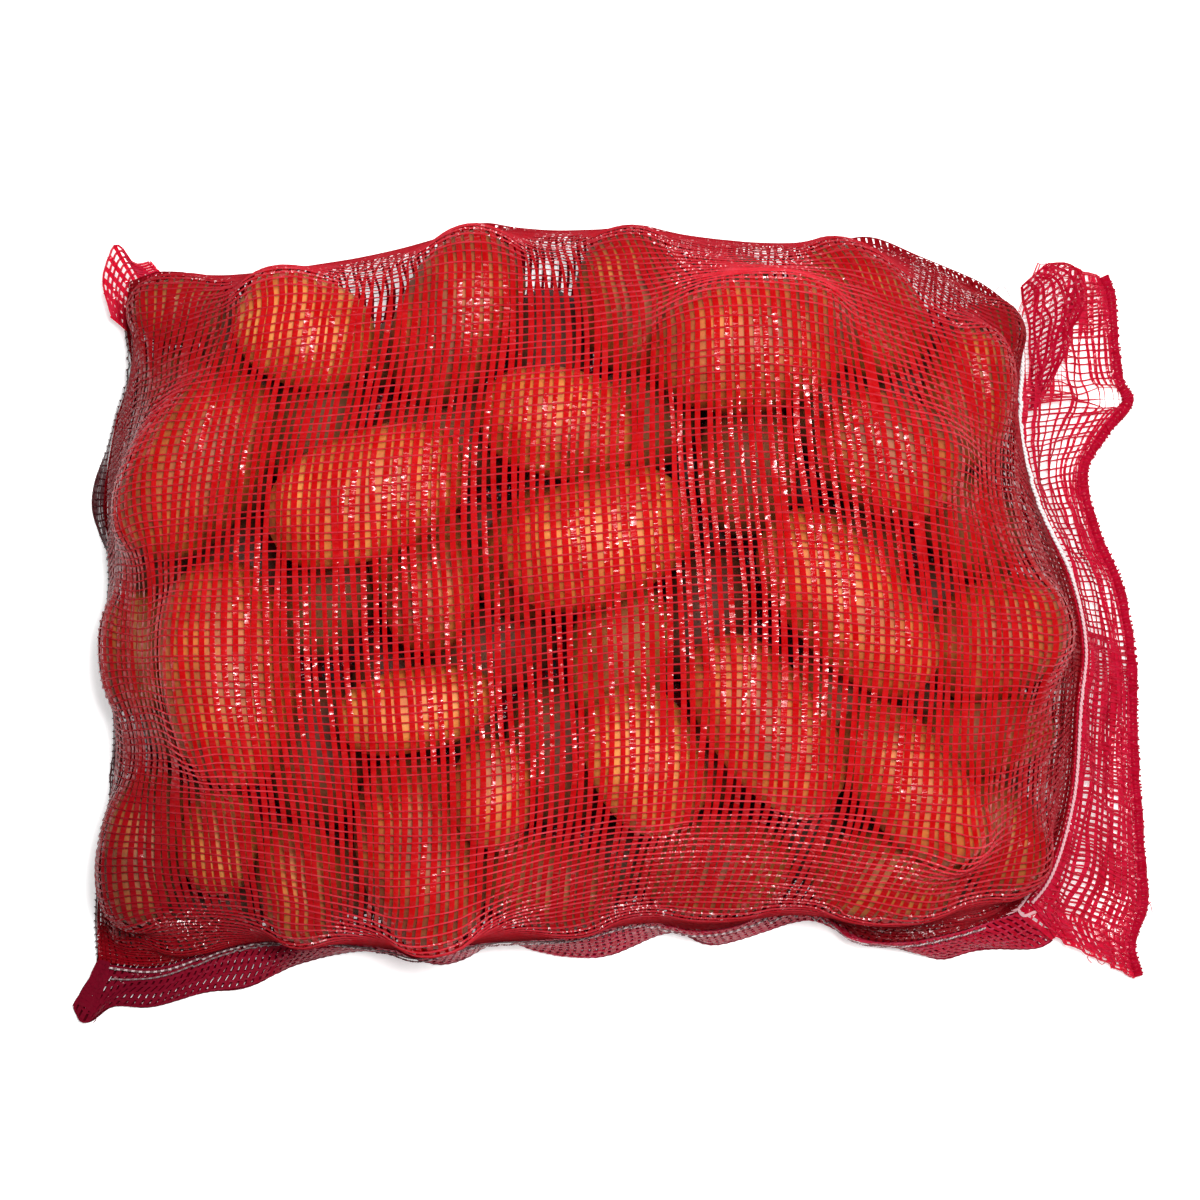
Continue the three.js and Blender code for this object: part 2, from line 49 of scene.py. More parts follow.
NET_GAP = 0.9            # the net runs this far off a potato's skin
ROUNDNESS = 2.3          # 2 is an ellipsoid, more is blockier
LOW_FLATNESS = 0.88      # height of a potato of the lower layer, part of its width
TOP_FLATNESS = 0.92      # the same for the upper layer
FILL_LEFT, FILL_RIGHT, FILL_NEAR, FILL_FAR = -214, 186, -132, 160      # sides of the filled space
EDGE_HEIGHT, CROWN_HEIGHT = 50, 97      # height of the filling at its sides and in the middle
SHOULDER = (10, 80)      # it rises over this stretch in from the sides
SETTLE_ROUNDS = 160
UPPER_SLIDE = 0.25       # how freely an upper potato is pushed sideways
SPRING = 0.05            # pull back to the place it was laid in

CELLS_LONG, CELLS_DEEP = 44, 30         # cells of the first, coarse net
WRAP_ROUNDS = 420
TENSION = 0.5            # a crossing moves this share of the way to its neighbours' mean
FOLD_ROWS, FOLD_GIVE = 3, 0.08          # rows beside the fold that give little crosswise
FOLD_FREE = 0.85         # past this share of the way to the fold, the top doesn't sag
TOP_WEIGHT, BOTTOM_WEIGHT = 0.04, 0.15  # sag of the two layers, mm a round
START_HEIGHT, START_ROUND = 112, 0.06   # the net starts as a box-like pillow with a round border
START_SLACK, FOLD_HEIGHT = 6, 30        # its fold starts this far out and this high
LAYER_GAP = 1.5          # the two layers stay at least this far apart
NET_REST = 0.7           # and crossings at least this high, so that threads stay above the floor
# heights of the seams, at the start, halfway and at the end
SIDE_SEAM_HEIGHT, MOUTH_HEIGHT, END_SEAM_HEIGHT = (8, 24, 15), (15, 19, 14), (8, 10, 14)
TRIM_GAP = 1.9           # trim stays this far off a potato
NEAR_SEAM, NEAR_LEVEL = 9, 6            # it starts outside the crossings that are this near

# Upper potatoes: x, y, length, width, heading in degrees, depth of the crown under the dome
UPPER = [
    (-180, 129, 43, 29, 0, 6), (-180, 98, 41, 36, 10, 12), (-172, 65, 89, 53, 57, 0),
    (-159, -20, 98, 57, 97, 0), (-197, -12, 54, 31, 92, 10), (-193, -91, 68, 37, 80, 4),
    (-165, -88, 47, 34, 85, 10), (-131, -105, 52, 38, 100, 4), (-174, -120, 51, 30, 14, 14),
    (-127, 119, 62, 48, -20, 2), (-109, 133, 34, 25, 10, 16), (-69, 125, 78, 50, 64, 0),
    (-24, 81, 71, 47, -14, 2), (-9, 35, 82, 55, 22, 0), (-102, 52, 88, 54, 22, 0),
    (-76, 13, 51, 38, 75, 8), (-82, -34, 69, 36, 12, 4), (-79, -91, 83, 53, 103, 0),
    (-53, -68, 47, 34, 90, 8), (-30, -106, 62, 40, -12, 2), (10, -54, 66, 48, -65, 3),
    (60, -39, 88, 48, -53, 0), (41, -100, 68, 43, 2, 0), (116, -65, 82, 44, -50, 2),
    (106, -106, 68, 39, 0, 2), (92, 9, 95, 50, -46, 0), (52, 113, 84, 57, 8, 0),
    (6, 129, 62, 48, -75, 8), (44, 140, 41, 29, 0, 10), (99, 127, 68, 47, -40, 4),
    (108, 69, 66, 51, -25, 2), (140, 92, 61, 38, 85, 6), (146, 117, 41, 30, 30, 14),
    (145, 39, 52, 40, -50, 6), (153, -6, 64, 51, 25, 0), (149, -47, 60, 36, 10, 6),
    (153, -83, 52, 40, -60, 2), (140, -107, 44, 30, 0, 10),
]
# Lower potatoes: x, y, length, width, heading
LOWER = [
    (44, 64, 61, 45, 90), (-3, -12, 66, 45, 80), (35, 15, 61, 41, 70), (-54, -12, 61, 41, 20),
    (-122, 83, 61, 41, 70), (-114, 2, 61, 43, 60), (-122, -46, 66, 45, 90), (-31, -50, 66, 45, 95),
    (2, -97, 43, 32, 50), (78, -86, 45, 34, 80), (-30, 127, 57, 38, 90), (129, -27, 51, 38, 0),
    (-155, 15, 57, 41, 50), (-172, -31, 61, 46, 40), (8, 27, 57, 43, 20), (-75, 77, 70, 49, 10),
    (89, 93, 49, 38, 80), (12, 93, 61, 47, 20), (-75, -73, 61, 45, 10), (35, -56, 68, 47, 10),
    (83, 27, 66, 47, 20), (91, -31, 66, 47, 70), (-25, 27, 61, 45, 60), (-93, 27, 61, 45, 100),
    (-193, 36, 55, 36, 80),
]

SIDE_SEAM = [
    (-217, -141), (-193, -143), (-164, -133), (-148, -130), (-99, -134), (-84, -138), (-62, -132),
    (-19, -129), (12, -122), (28, -127), (48, -125), (70, -115), (83, -118), (98, -130), (118, -132),
    (140, -128), (165, -120),
]
FOLD = [
    (-204, 143), (-190, 147), (-157, 142), (-132, 148), (-99, 151), (-83, 155), (-58, 166),
    (-41, 163), (-20, 159), (8, 165), (30, 158), (50, 158), (70, 154), (83, 156), (103, 161),
    (124, 153), (149, 143), (157, 138), (165, 131),
]
MOUTH = [
    (165, -120), (177, -106), (187, -73), (190, -31), (192, -10), (186, 20), (173, 48), (164, 80),
    (166, 108), (165, 131),
]
END_SEAM = [
    (-217, -141), (-218, -121), (-215, -92), (-208, -64), (-209, -43), (-214, -14), (-212, 27),
    (-215, 50), (-209, 88), (-203, 106), (-205, 122), (-204, 143),
]
FLANGE_EDGE = [
    (-229, -160), (-225, -167), (-214, -160), (-197, -160), (-175, -154), (-155, -151), (-135, -142),
    (-109, -137), (-92, -138), (-75, -142), (-65, -140), (-50, -133), (-33, -137), (-8, -139),
    (17, -130), (25, -129), (38, -134), (50, -132), (76, -124), (86, -125), (101, -133), (118, -136),
    (134, -140), (151, -136), (176, -135), (184, -130),
]
HEM_EDGE = [
    (220, -147), (217, -134), (222, -118), (221, -98), (218, -50), (217, -12), (211, 19), (203, 37),
    (197, 64), (206, 80), (216, 94), (212, 103), (210, 118), (208, 140), (205, 147),
]
HEM_WIDTH = 4.8          # its band is drawn tighter than the solid
FLAP_TOP, FLAP_BOTTOM = (175, 151), (182, -130)
EAR_START = [(-211, 128), (-207, 144), (-197, 150)]
EAR_END = [(-212, 129), (-215, 144), (-209, 159), (-203, 150), (-196, 151)]
EAR_TUCK = (7, -6, -2)   # its start lies under the body's net
STITCHED = (0.03, 0.99)

rng = np.random.default_rng(5)


def mix(a, b, t):
    return a + (b - a) * t


def smooth(low, high, x):
    t = np.clip((x - low) / (high - low), 0, 1)
    return t * t * (3 - 2 * t)


def unit(vectors):
    return vectors / np.maximum(np.linalg.norm(vectors, axis=-1, keepdims=True), 1e-9)


def three_step(heights, t):
    """From the first value over the second, halfway, to the third."""
    first, second, third = heights
    rise = mix(first, second, smooth(0, 0.5, t))
    return np.where(t < 0.5, rise, mix(second, third, smooth(0.5, 1, t)))


def outline(points, heights=(0, 0, 0)):
    """A smooth line through the points, read by t from 0 to 1 along its length."""
    knots = np.array(points, float)
    knots = np.vstack([2 * knots[0] - knots[1], knots, 2 * knots[-1] - knots[-2]])
    t = np.linspace(0, 1, 25)[:, None]
    parts = []
    for a, b, c, d in zip(knots, knots[1:], knots[2:], knots[3:]):
        before, here, after = (math.sqrt(math.dist(p, q)) for p, q in ((a, b), (b, c), (c, d)))
        leave = ((b - a) / before - (c - a) / (before + here) + (c - b) / here) * here
        arrive = ((c - b) / here - (d - b) / (here + after) + (d - c) / after) * here
        turn = 3 * (c - b) - 2 * leave - arrive
        parts.append(b + t * leave + t**2 * turn + t**3 * (2 * (b - c) + leave + arrive))
    line = np.vstack(parts)
    walked = np.append(0, np.cumsum(np.linalg.norm(np.diff(line, axis=0), axis=1)))
    walked /= walked[-1]

    def place(t):
        t = np.asarray(t, float)
        x, y = np.interp(t, walked, line[:, 0]), np.interp(t, walked, line[:, 1])
        return np.stack([x, y, three_step(heights, t)], axis=-1)

    return place


# ------------------------------------------------------------ the heap of potatoes
def dome(x, y):
    inside = np.minimum.reduce([x - FILL_LEFT, FILL_RIGHT - x, y - FILL_NEAR, FILL_FAR - y])
    return mix(EDGE_HEIGHT, CROWN_HEIGHT, smooth(*SHOULDER, inside))


upper, lower = np.array(UPPER, float), np.array(LOWER, float)
sizes = np.vstack([upper[:, 2:4], lower[:, 2:4]])
tall = np.append(upper[:, 3] * TOP_FLATNESS, lower[:, 3] * LOW_FLATNESS)
half = np.column_stack([sizes, tall]) / 2
turn = np.radians(np.append(upper[:, 4], lower[:, 4]))
heading = np.column_stack([np.cos(turn), np.sin(turn), 0 * turn])
low_z = tall / 2 + NET_GAP
crown_z = dome(upper[:, 0], upper[:, 1]) - upper[:, 5] - tall[:len(upper)] / 2
home = np.column_stack([np.vstack([upper[:, :2], lower[:, :2]]), low_z])
home[:len(upper), 2] = np.maximum(crown_z, low_z[:len(upper)])
slide = np.where(np.arange(len(home)) < len(upper), UPPER_SLIDE, 1.0)[:, None]


def settle(at):
    """Potatoes that overlap push each other apart until the heap has settled."""
    steps = np.array([-0.6, 0, 0.6])[None, :, None] * half[:, None, :1] * heading[:, None, :]
    radius = np.array([0.8, 1, 0.8]) * (half[:, 1:2] + half[:, 2:3]) / 2
    both = radius[:, None, :, None] + radius[None, :, None, :]
    for _ in range(SETTLE_ROUNDS):
        balls = at[:, None, :] + steps
        apart = balls[:, None, :, None, :] - balls[None, :, None, :, :]
        distance = np.linalg.norm(apart, axis=-1) + 1e-9
        depth = (both - distance).reshape(len(at), len(at), 9)
        deepest = depth.argmax(axis=-1)[..., None]
        push = np.take_along_axis(depth, deepest, -1).clip(0) / 4
        push[np.arange(len(at)), np.arange(len(at))] = 0
        way = (apart / distance[..., None]).reshape(len(at), len(at), 9, 3)
        way = np.take_along_axis(way, deepest[..., None], 2)[:, :, 0]
        move = (way * push).sum(axis=1)
        level = move[:, :2] * slide + (home[:, :2] - at[:, :2]) * SPRING
        rise = move[:, 2] + (home[:, 2] - at[:, 2]) * SPRING / 4
        at = at + np.column_stack([level, rise])
        at[:, 2] = np.maximum(at[:, 2], low_z)
    return at


def with_more(more_middles, more_halves, more_headings):
    """The heap's middles, half sizes and headings, with those of more potatoes after them."""
    both = zip((middles, half, heading), (more_middles, more_halves, more_headings))
    return [np.vstack(rows) for rows in both]


middles = settle(home.copy())
# a small one fills the near corner beside the end seam
middles, half, heading = with_more([-199, -121, 11], [15, 10.5, 9.5], [0.5, 0.87, 0])
OVERHANGING, NUDGE = 24, (2, 5, 0)      # one that hung out over the stitches lies further in
middles[OVERHANGING] += NUDGE


def clear_of(points, gap):
    """Points inside a potato, or nearer to it than the gap, go straight out of it."""
    flat = points.reshape(-1, 3).copy()
    for at, size, (c, s, _) in zip(middles, half + gap, heading):
        x, y, z = (flat - at).T
        reach = size.max()
        near = np.flatnonzero((abs(x) < reach) & (abs(y) < reach) & (abs(z) < size[2]))
        if not near.size:
            continue
        x, y, z = x[near], y[near], z[near]
        local = np.abs([(x * c + y * s) / size[0], (y * c - x * s) / size[1], z / size[2]])
        q = (local**ROUNDNESS).sum(axis=0) ** (1 / ROUNDNESS)
        inside = (q < 1) & (q > 1e-3)
        away = np.column_stack([x, y, z])[inside] / q[inside, None]
        flat[near[inside]] = at + away
    return flat.reshape(points.shape)


def seam(points, heights):
    line = outline(points, heights)
    return lambda t: clear_of(line(t), NET_GAP)


side_seam = seam(SIDE_SEAM, SIDE_SEAM_HEIGHT)
fold = outline(FOLD)
fold_line = fold(np.linspace(0, 1, 401))
mouth = seam(MOUTH, MOUTH_HEIGHT)
end_seam = seam(END_SEAM, END_SEAM_HEIGHT)


# ------------------------------------------------------------ the net drawn tight over the heap
def bulge(t):
    """Rises from 0 at both ends to 1, rounded like a quarter circle."""
    near = np.minimum(1, np.minimum(t, 1 - t) / START_ROUND)
    return np.sqrt(1 - (1 - near) ** 2)


def start_net():
    """Column i runs from the end seam to the mouth; row k from the stitched side over the
    top to the fold, and back underneath."""
    s = np.linspace(0, 1, CELLS_LONG + 1)[:, None]
    k = np.arange(2 * CELLS_DEEP + 1)[None, :]
    t = 1 - abs(k / CELLS_DEEP - 1)
    south, north, west, east = side_seam(s), fold(s), end_seam(t), mouth(t)
    s3, t3 = s[..., None], t[..., None]
    corners = mix(mix(side_seam(0.0), side_seam(1.0), s3), mix(fold(0.0), fold(1.0), s3), t3)
    net = mix(south, north, t3) + mix(west, east, s3) - corners
    ends = np.where(s < 0.5, west[..., 2], east[..., 2])
    border = mix(mix(south[..., 2], FOLD_HEIGHT, t), ends, abs(2 * s - 1))
    net[..., 1] += START_SLACK * bulge(s) * smooth(0.7, 1, t)
    net[..., 2] = mix(border, np.where(k < CELLS_DEEP, START_HEIGHT, 0), bulge(s) * bulge(t))
    return net


def draw_tight(net, rounds, fold_rows, weight):
    """Each crossing moves to its neighbours' mean, sags a little and rests on the potatoes."""
    columns, rows = net.shape[0] - 1, net.shape[1] - 1
    deep = rows // 2
    k = np.arange(1, rows)
    across = 0.25 * mix(FOLD_GIVE, 1, smooth(0, fold_rows, abs(k - deep)))[None, :, None]
    sag = np.where(k > deep, BOTTOM_WEIGHT, np.where(k < deep * FOLD_FREE, TOP_WEIGHT, 0)) * weight
    i = np.arange(1, columns)[:, None]
    turns = [np.nonzero((i + k) % 2 == part) for part in (0, 1)]
    for _ in range(rounds):
        for a, b in turns:
            here, share = net[a + 1, b + 1], across[0, b]
            mean = (net[a, b + 1] + net[a + 2, b + 1]) * (0.5 - share)
            mean += (net[a + 1, b] + net[a + 1, b + 2]) * share
            here = mix(here, mean, TENSION)
            here[:, 2] -= sag[b]
            here = clear_of(here, NET_GAP)
            here[:, 2] = np.maximum(here[:, 2], 0)
            net[a + 1, b + 1] = here
        crease = net[1:-1, deep]        # stands out to its line where no potato carries it
        line = np.interp(crease[:, 0], fold_line[:, 0], fold_line[:, 1])
        crease[:, 1] = np.maximum(crease[:, 1], line)
        over, under = net[1:-1, 1:deep, 2], net[1:-1, rows - 1:deep:-1, 2]
        short = np.maximum(0, LAYER_GAP - (over - under)) / 2
        over += short
        under[:] = np.where(short > 0, np.maximum(0, under - short), under)
    return net


def resample(net, columns, rows):
    """The same net with other numbers of columns and rows."""
    for axis, count in ((0, columns), (1, rows)):
        place = np.linspace(0, net.shape[axis] - 1, count + 1)
        first = np.minimum(place.astype(int), net.shape[axis] - 2)
        share = (place - first).reshape([-1 if n == axis else 1 for n in range(net.ndim)])
        net = mix(np.take(net, first, axis), np.take(net, first + 1, axis), share)
    return net


def run_of(lines):
    """How far along each line its points lie, lines[line, point]."""
    steps = np.linalg.norm(np.diff(lines, axis=1, prepend=lines[:, :1]), axis=-1)
    return np.cumsum(steps, axis=1)


def crowded(count, more, edge=0.22):
    """Shares from 0 to 1, closer together near both ends, where the net is less stretched."""
    t = np.linspace(0, 1, count)
    step = 1 - more * (1 - smooth(0, edge, np.minimum(t, 1 - t)))
    place = np.append(0, np.cumsum(step[1:] + step[:-1]))
    return place / place[-1]


def spread(lines, blur, sideways, more):
    """Points slide along each line until their steps are those that crowded gives, measured
    nearly as on the lines beside it. Sideways bends of the line don't count."""
    straight = lines.copy()
    straight[..., sideways] = 0
    run = run_of(straight)
    run /= run[:, -1:]
    padded = np.pad(run, ((blur, blur), (0, 0)), mode="edge")
    run = np.mean([padded[n:n + len(run)] for n in range(2 * blur + 1)], axis=0)
    place = crowded(lines.shape[1], more)
    laid = [[np.interp(place, far, line[:, n]) for n in range(3)] for far, line in zip(run, lines)]
    return np.array(laid).transpose(0, 2, 1)


def even_out(net, rounds=3, blur=9):
    """Woven crossings keep their distance: they slide along their thread and their tape."""
    deep = net.shape[1] // 2
    for _ in range(rounds):
        layers = []
        for layer in (net[:, :deep + 1], net[:, deep:]):
            layer = spread(layer.transpose(1, 0, 2), blur, 1, ALONG_THREADS).transpose(1, 0, 2)
            layers.append(spread(layer, blur, 0, ALONG_TAPES))
        net = np.concatenate([layers[0], layers[1][:, 1:]], axis=1)
    return net


def blur_rows(lines, reach):
    """Each value becomes the mean of those up to this many places away in its row."""
    padded = np.pad(lines, ((0, 0), (reach, reach)), mode="edge")
    points = lines.shape[1]
    return np.mean([padded[:, n:n + points] for n in range(2 * reach + 1)], axis=0)


def straighten(sheet, reach, edge=9, most=1.5):
    """Tapes and threads run straighter than the crossings that the heap pushed aside, but not
    where the net is steep, and by no more than the given number of crossings."""
    out = unit(np.cross(np.gradient(sheet, axis=0), np.gradient(sheet, axis=1)))
    level = smooth(0.3, 0.8, abs(out[..., 2]))
    level = blur_rows(blur_rows(level, 4).T, 4).T ** 2
    for axis in (0, 1, 0, 1):
        across = sheet[..., axis]
        lines = across if axis == 0 else across.T
        count, points = lines.shape
        blurred = blur_rows(lines, reach)
        i, k = np.arange(count)[:, None], np.arange(points)[None, :]
        hold = smooth(2, edge, np.minimum(i, count - 1 - i))
        hold = hold * smooth(2, edge, np.minimum(k, points - 1 - k))
        hold = hold * (level if axis == 0 else level.T)
        target = mix(lines, blurred, hold)
        index = np.arange(count)
        laid = (sheet if axis == 0 else sheet.transpose(1, 0, 2)).copy()
        for point in range(points):
            rising = np.maximum.accumulate(lines[:, point] + index * 1e-6)
            place = np.interp(target[:, point], rising, index)
            place = index + np.clip(place - index, -most, most) * hold[:, point]
            moved = [np.interp(place, index, laid[:, point, n]) for n in range(3)]
            laid[:, point] = np.column_stack(moved)
        sheet = laid if axis == 0 else laid.transpose(1, 0, 2)
    return sheet


TAPES = 136              # woven tapes side by side from the end seam to the mouth
THREADS = 116            # thin threads across each half of the net
ALONG_THREADS, ALONG_TAPES = 0.45, 0.35     # how much closer crossings lie at the net's borders
FINE_ROUNDS, FINE_TURNS = 25, 2

coarse = draw_tight(start_net(), WRAP_ROUNDS, FOLD_ROWS, 1)
crossings = coarse.reshape(-1, 3)
finer = THREADS / CELLS_DEEP
net = resample(coarse, TAPES, 2 * THREADS)
for _ in range(FINE_TURNS):
    net = even_out(draw_tight(net, FINE_ROUNDS, FOLD_ROWS * finer, finer**-2))
net[:, :THREADS + 1] = straighten(net[:, :THREADS + 1], 9)
net[1:-1, 1:-1] = clear_of(net[1:-1, 1:-1], NET_GAP)
net[..., 2] = np.maximum(net[..., 2], NET_REST)


# ------------------------------------------------------------ small potatoes in the gaps
LEAST_SMALL, MOST_SMALL = 8.5, 17    # half width of the small ones that fill the gaps


def nearest(points, spots):
    """The number of the point nearest to each spot, and how far off it is."""
    tree = kdtree.KDTree(len(points))
    for n, point in enumerate(points):
        tree.insert(point, n)
    tree.balance()
    found = [tree.find(spot) for spot in spots]
    return np.array([n for _, n, _ in found]), np.array([far for *_, far in found])


# Empty stretches beside the fold, seen through: x, y and half their size
SEEN_THROUGH = [(-97, 144, 20, 13), (-25, 149, 14, 13), (58, 152, 12, 8), (138, 142, 24, 12)]


def openness(points):
    """How far a place is in such a stretch, from 0 to 1."""
    x, y = points[..., 0], points[..., 1]
    far = [np.hypot((x - at_x) / wide, (y - at_y) / deep) for at_x, at_y, wide, deep in SEEN_THROUGH]
    return smooth(1.3, 0.8, np.min(far, axis=0))[..., None]


def tightness(points):
    """How tightly the net is drawn together, from 0 to 1 beside the mouth."""
    return smooth(100, 165, points[..., :1])


def fill_gaps():
    """Small potatoes, largest first, wherever the heap and the net leave room for one."""
    out = np.cross(np.gradient(coarse, axis=0), np.gradient(coarse, axis=1))
    out, inner = out[1:-1, 1:-1].reshape(-1, 3), coarse[1:-1, 1:-1].reshape(-1, 3)
    # spots to try, 6 mm apart on two levels
    axes = (np.arange(-205, 182, 6), np.arange(-128, 156, 6), (12, 20))
    spots = np.stack(np.meshgrid(*axes, indexing="ij"), axis=-1).reshape(-1, 3).astype(float)
    number, _ = nearest(inner, spots)
    inside = ((spots - inner[number]) * out[number]).sum(axis=1) < 0
    inside &= spots[:, 0] + spots[:, 1] < 230       # the corner beside the mouth is empty net
    inside &= spots[:, 1] - spots[:, 0] < 340       # and so is the one beside the ear
    inside &= openness(spots)[:, 0] < 0.3
    room = np.where(inside, nearest(crossings, spots)[1] - 2.5, 0)
    room = np.minimum(room, np.minimum(spots[:, 2] - 1, MOST_SMALL))
    for at, size, (c, s, _) in zip(middles, half, heading):
        x, y, z = (spots - at).T
        local = np.abs([(x * c + y * s) / size[0], (y * c - x * s) / size[1], z / size[2]])
        q = (local**ROUNDNESS).sum(axis=0) ** (1 / ROUNDNESS) + 1e-6
        room = np.minimum(room, np.linalg.norm(spots - at, axis=1) * (1 - 1 / q) + 1.5)
    found = []
    while room.max() > LEAST_SMALL:
        best = room.argmax()
        radius = room[best]
        found.append((spots[best], radius))
        room = np.minimum(room, np.linalg.norm(spots - spots[best], axis=1) - radius + 1)
    return found


# one more lies deep in the dip beside the fold
turn = math.radians(85)
middles, half, heading = with_more([-160, 118, 34], [18, 13, 13], [math.cos(turn), math.sin(turn), 0])

small = fill_gaps()
turn = rng.uniform(0, math.pi, len(small))
middles, half, heading = with_more([at for at, _ in small],
                                   [(r * 1.12, r, r * 0.95) for _, r in small],
                                   np.column_stack([np.cos(turn), np.sin(turn), 0 * turn]))


# ------------------------------------------------------------ meshes
def piece(name, mesh, material, slot, *nodes):
    """A finished piece, with its place in its mesh."""
    made = bpy.data.objects.new(name, mesh)
    bpy.context.scene.collection.objects.link(made)
    mesh.materials.append(material)
    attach(made, "root")
    if nodes:
        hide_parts(*nodes)


def strips(name, rings, marks):
    """Closed strips, each swept through its rings of points: rings[strip, along, round]. The
    marks go into the attribute that the woven materials read."""
    count, along, sides = rings.shape[:3]
    closed = [*range(sides), 0]
    points = (rings[:, :, closed].transpose(1, 0, 2, 3).reshape(-1, 3) + CENTRED) * 0.001
    marks = marks[:, :, closed].transpose(1, 0, 2, 3).reshape(-1, 3)
    wide = count * (sides + 1)
    bm = bmesh.new()
    weave = bm.verts.layers.float_vector.new("weave")
    bmesh.ops.create_grid(bm, x_segments=wide - 1, y_segments=along - 1, size=1)
    for vert, point, mark in zip(bm.verts, points.tolist(), marks.tolist()):
        vert.co = point
        vert[weave] = mark
    joins = [f for n, f in enumerate(bm.faces) if n % (wide - 1) % (sides + 1) == sides]
    bmesh.ops.delete(bm, geom=joins, context="FACES")       # they link one strip to the next
    bmesh.ops.remove_doubles(bm, verts=bm.verts, dist=1e-7)
    bmesh.ops.holes_fill(bm, edges=[e for e in bm.edges if e.is_boundary], sides=sides)
    bmesh.ops.recalc_face_normals(bm, faces=bm.faces)
    mesh = bpy.data.meshes.new(name)
    bm.to_mesh(mesh)
    bm.free()
    mesh.shade_smooth()
    mesh.set_sharp_from_angle(angle=math.radians(70))
    return mesh


def between(values, steps):
    """Points laid evenly between the given ones along the second axis, on smooth lines."""
    first, last = 2 * values[:, :1] - values[:, 1:2], 2 * values[:, -1:] - values[:, -2:-1]
    run = np.concatenate([first, values, last], axis=1)
    a, b, c, d = run[:, :-3], run[:, 1:-2], run[:, 2:-1], run[:, 3:]
    parts = []
    for t in np.arange(steps) / steps:
        bend = (2 * a - 5 * b + 4 * c - d) * t**2 + (3 * (b - c) + d - a) * t**3
        parts.append(b + ((c - a) * t + bend) / 2)
    laid = np.stack(parts, axis=2).reshape(values.shape[0], -1, values.shape[2])
    return np.concatenate([laid, values[:, -1:]], axis=1)


def wander(columns, rows, every, size):
    """Uneven lengthwise drift, drawn anew for each column and every so many rows."""
    drawn = rng.normal(size=(columns + 1, max(2, rows // every + 1), 1)) * size
    return resample(drawn, columns, rows)


def slack(net, tape_drift, thread_drift):
    """Tapes and threads lie a little uneven, but stay put at the seams."""
    columns, rows = net.shape[0] - 1, net.shape[1] - 1
    over, along = unit(np.gradient(net, axis=0)), unit(np.gradient(net, axis=1))
    i, k = np.arange(columns + 1)[:, None, None], np.arange(rows + 1)[None, :, None]
    hold = smooth(0, 2, np.minimum(i, columns - i)) * smooth(0, 2, np.minimum(k, rows - k))
    tapes = wander(columns, rows, 9, tape_drift)
    threads = wander(rows, columns, 9, thread_drift).transpose(1, 0, 2)
    return net + hold * (over * tapes + along * threads)


TAPE_CROWN = 0.1         # half the thickness of a tape's middle


def tape_rings(net, half_width, steps, most=0.46):
    """Flat tapes along the columns of a net, pinched where a thread crosses. Their half width,
    which may differ from place to place, is at most this share of the way to the next tape."""
    middle, side = between(net, steps), between(np.gradient(net, axis=0), steps)
    ahead = unit(np.gradient(middle, axis=1))
    side = side - ahead * (side * ahead).sum(-1, keepdims=True)
    pitch = np.linalg.norm(side, axis=-1, keepdims=True)
    side = unit(side)
    out = np.cross(side, ahead)
    columns, rows = middle.shape[0] - 1, middle.shape[1] - 1
    roll = wander(columns, rows, 5, 0.16)
    side, out = side * np.cos(roll) + out * np.sin(roll), out * np.cos(roll) - side * np.sin(roll)
    pinch = 1 - 0.1 * (np.arange(rows + 1) % steps == 0)[None, :, None]
    half_width = between(np.broadcast_to(half_width, (*net.shape[:2], 1)), steps)
    wide = half_width * pinch * (1 + wander(columns, rows, 7, 0.1))
    wide = np.minimum(wide, most * pitch)
    edge, crown = side * wide, out * TAPE_CROWN
    rings = [middle - edge, middle + crown, middle + edge, middle - crown]
    run = run_of(middle)
    number = np.broadcast_to(np.arange(columns + 1)[:, None], run.shape)
    marks = [np.stack([np.full_like(run, place), run, number], -1) for place in (-1, 0, 1, 0)]
    return np.stack(rings, axis=2), np.stack(marks, axis=2)


def thread_rings(net, radius, lift, sides, steps=2):
    """Thin threads along the rows of a net, over each tape and lower between two."""
    net = net.transpose(1, 0, 2)
    middle, ahead = between(net, steps), between(np.gradient(net, axis=0), steps)
    along = unit(np.gradient(middle, axis=1))
    out = unit(np.cross(along, ahead))
    across = np.cross(out, along)
    radius = np.broadcast_to(radius, (*net.shape[1::-1], 1)).transpose(1, 0, 2)
    radius = between(radius, steps)
    count, rows = middle.shape[0] - 1, middle.shape[1] - 1
    over = (np.arange(rows + 1) % steps == 0)[None, :, None]
    middle = middle + out * np.where(over, lift, lift * 0.3) + across * wander(count, rows, 3, 0.12)
    rings, marks = [], []
    run = run_of(middle)
    number = np.broadcast_to(np.arange(count + 1)[:, None], run.shape)
    for angle in np.arange(sides) * 2 * math.pi / sides:
        rings.append(middle + radius * (out * math.cos(angle) + across * math.sin(angle)))
        marks.append(np.stack([np.full_like(run, math.cos(angle)), run, number], -1))
    return np.stack(rings, axis=2), np.stack(marks, axis=2)


# ------------------------------------------------------------ materials
def linear(colour):
    """sRGB hex to the linear colour that the shaders take."""
    parts = [int(colour[n:n + 2], 16) / 255 for n in (1, 3, 5)]
    return (*(c / 12.92 if c <= 0.04045 else ((c + 0.055) / 1.055) ** 2.4 for c in parts), 1)


def add(material, kind, sockets=None, **settings):
    """Adds a node with its settings, and sets or links its inputs."""
    made = material.node_tree.nodes.new("ShaderNode" + kind)
    for name, value in settings.items():
        setattr(made, name, value)
    for name, value in (sockets or {}).items():
        if isinstance(value, bpy.types.NodeSocket):
            material.node_tree.links.new(value, made.inputs[name])
        else:
            made.inputs[name].default_value = value
    return made


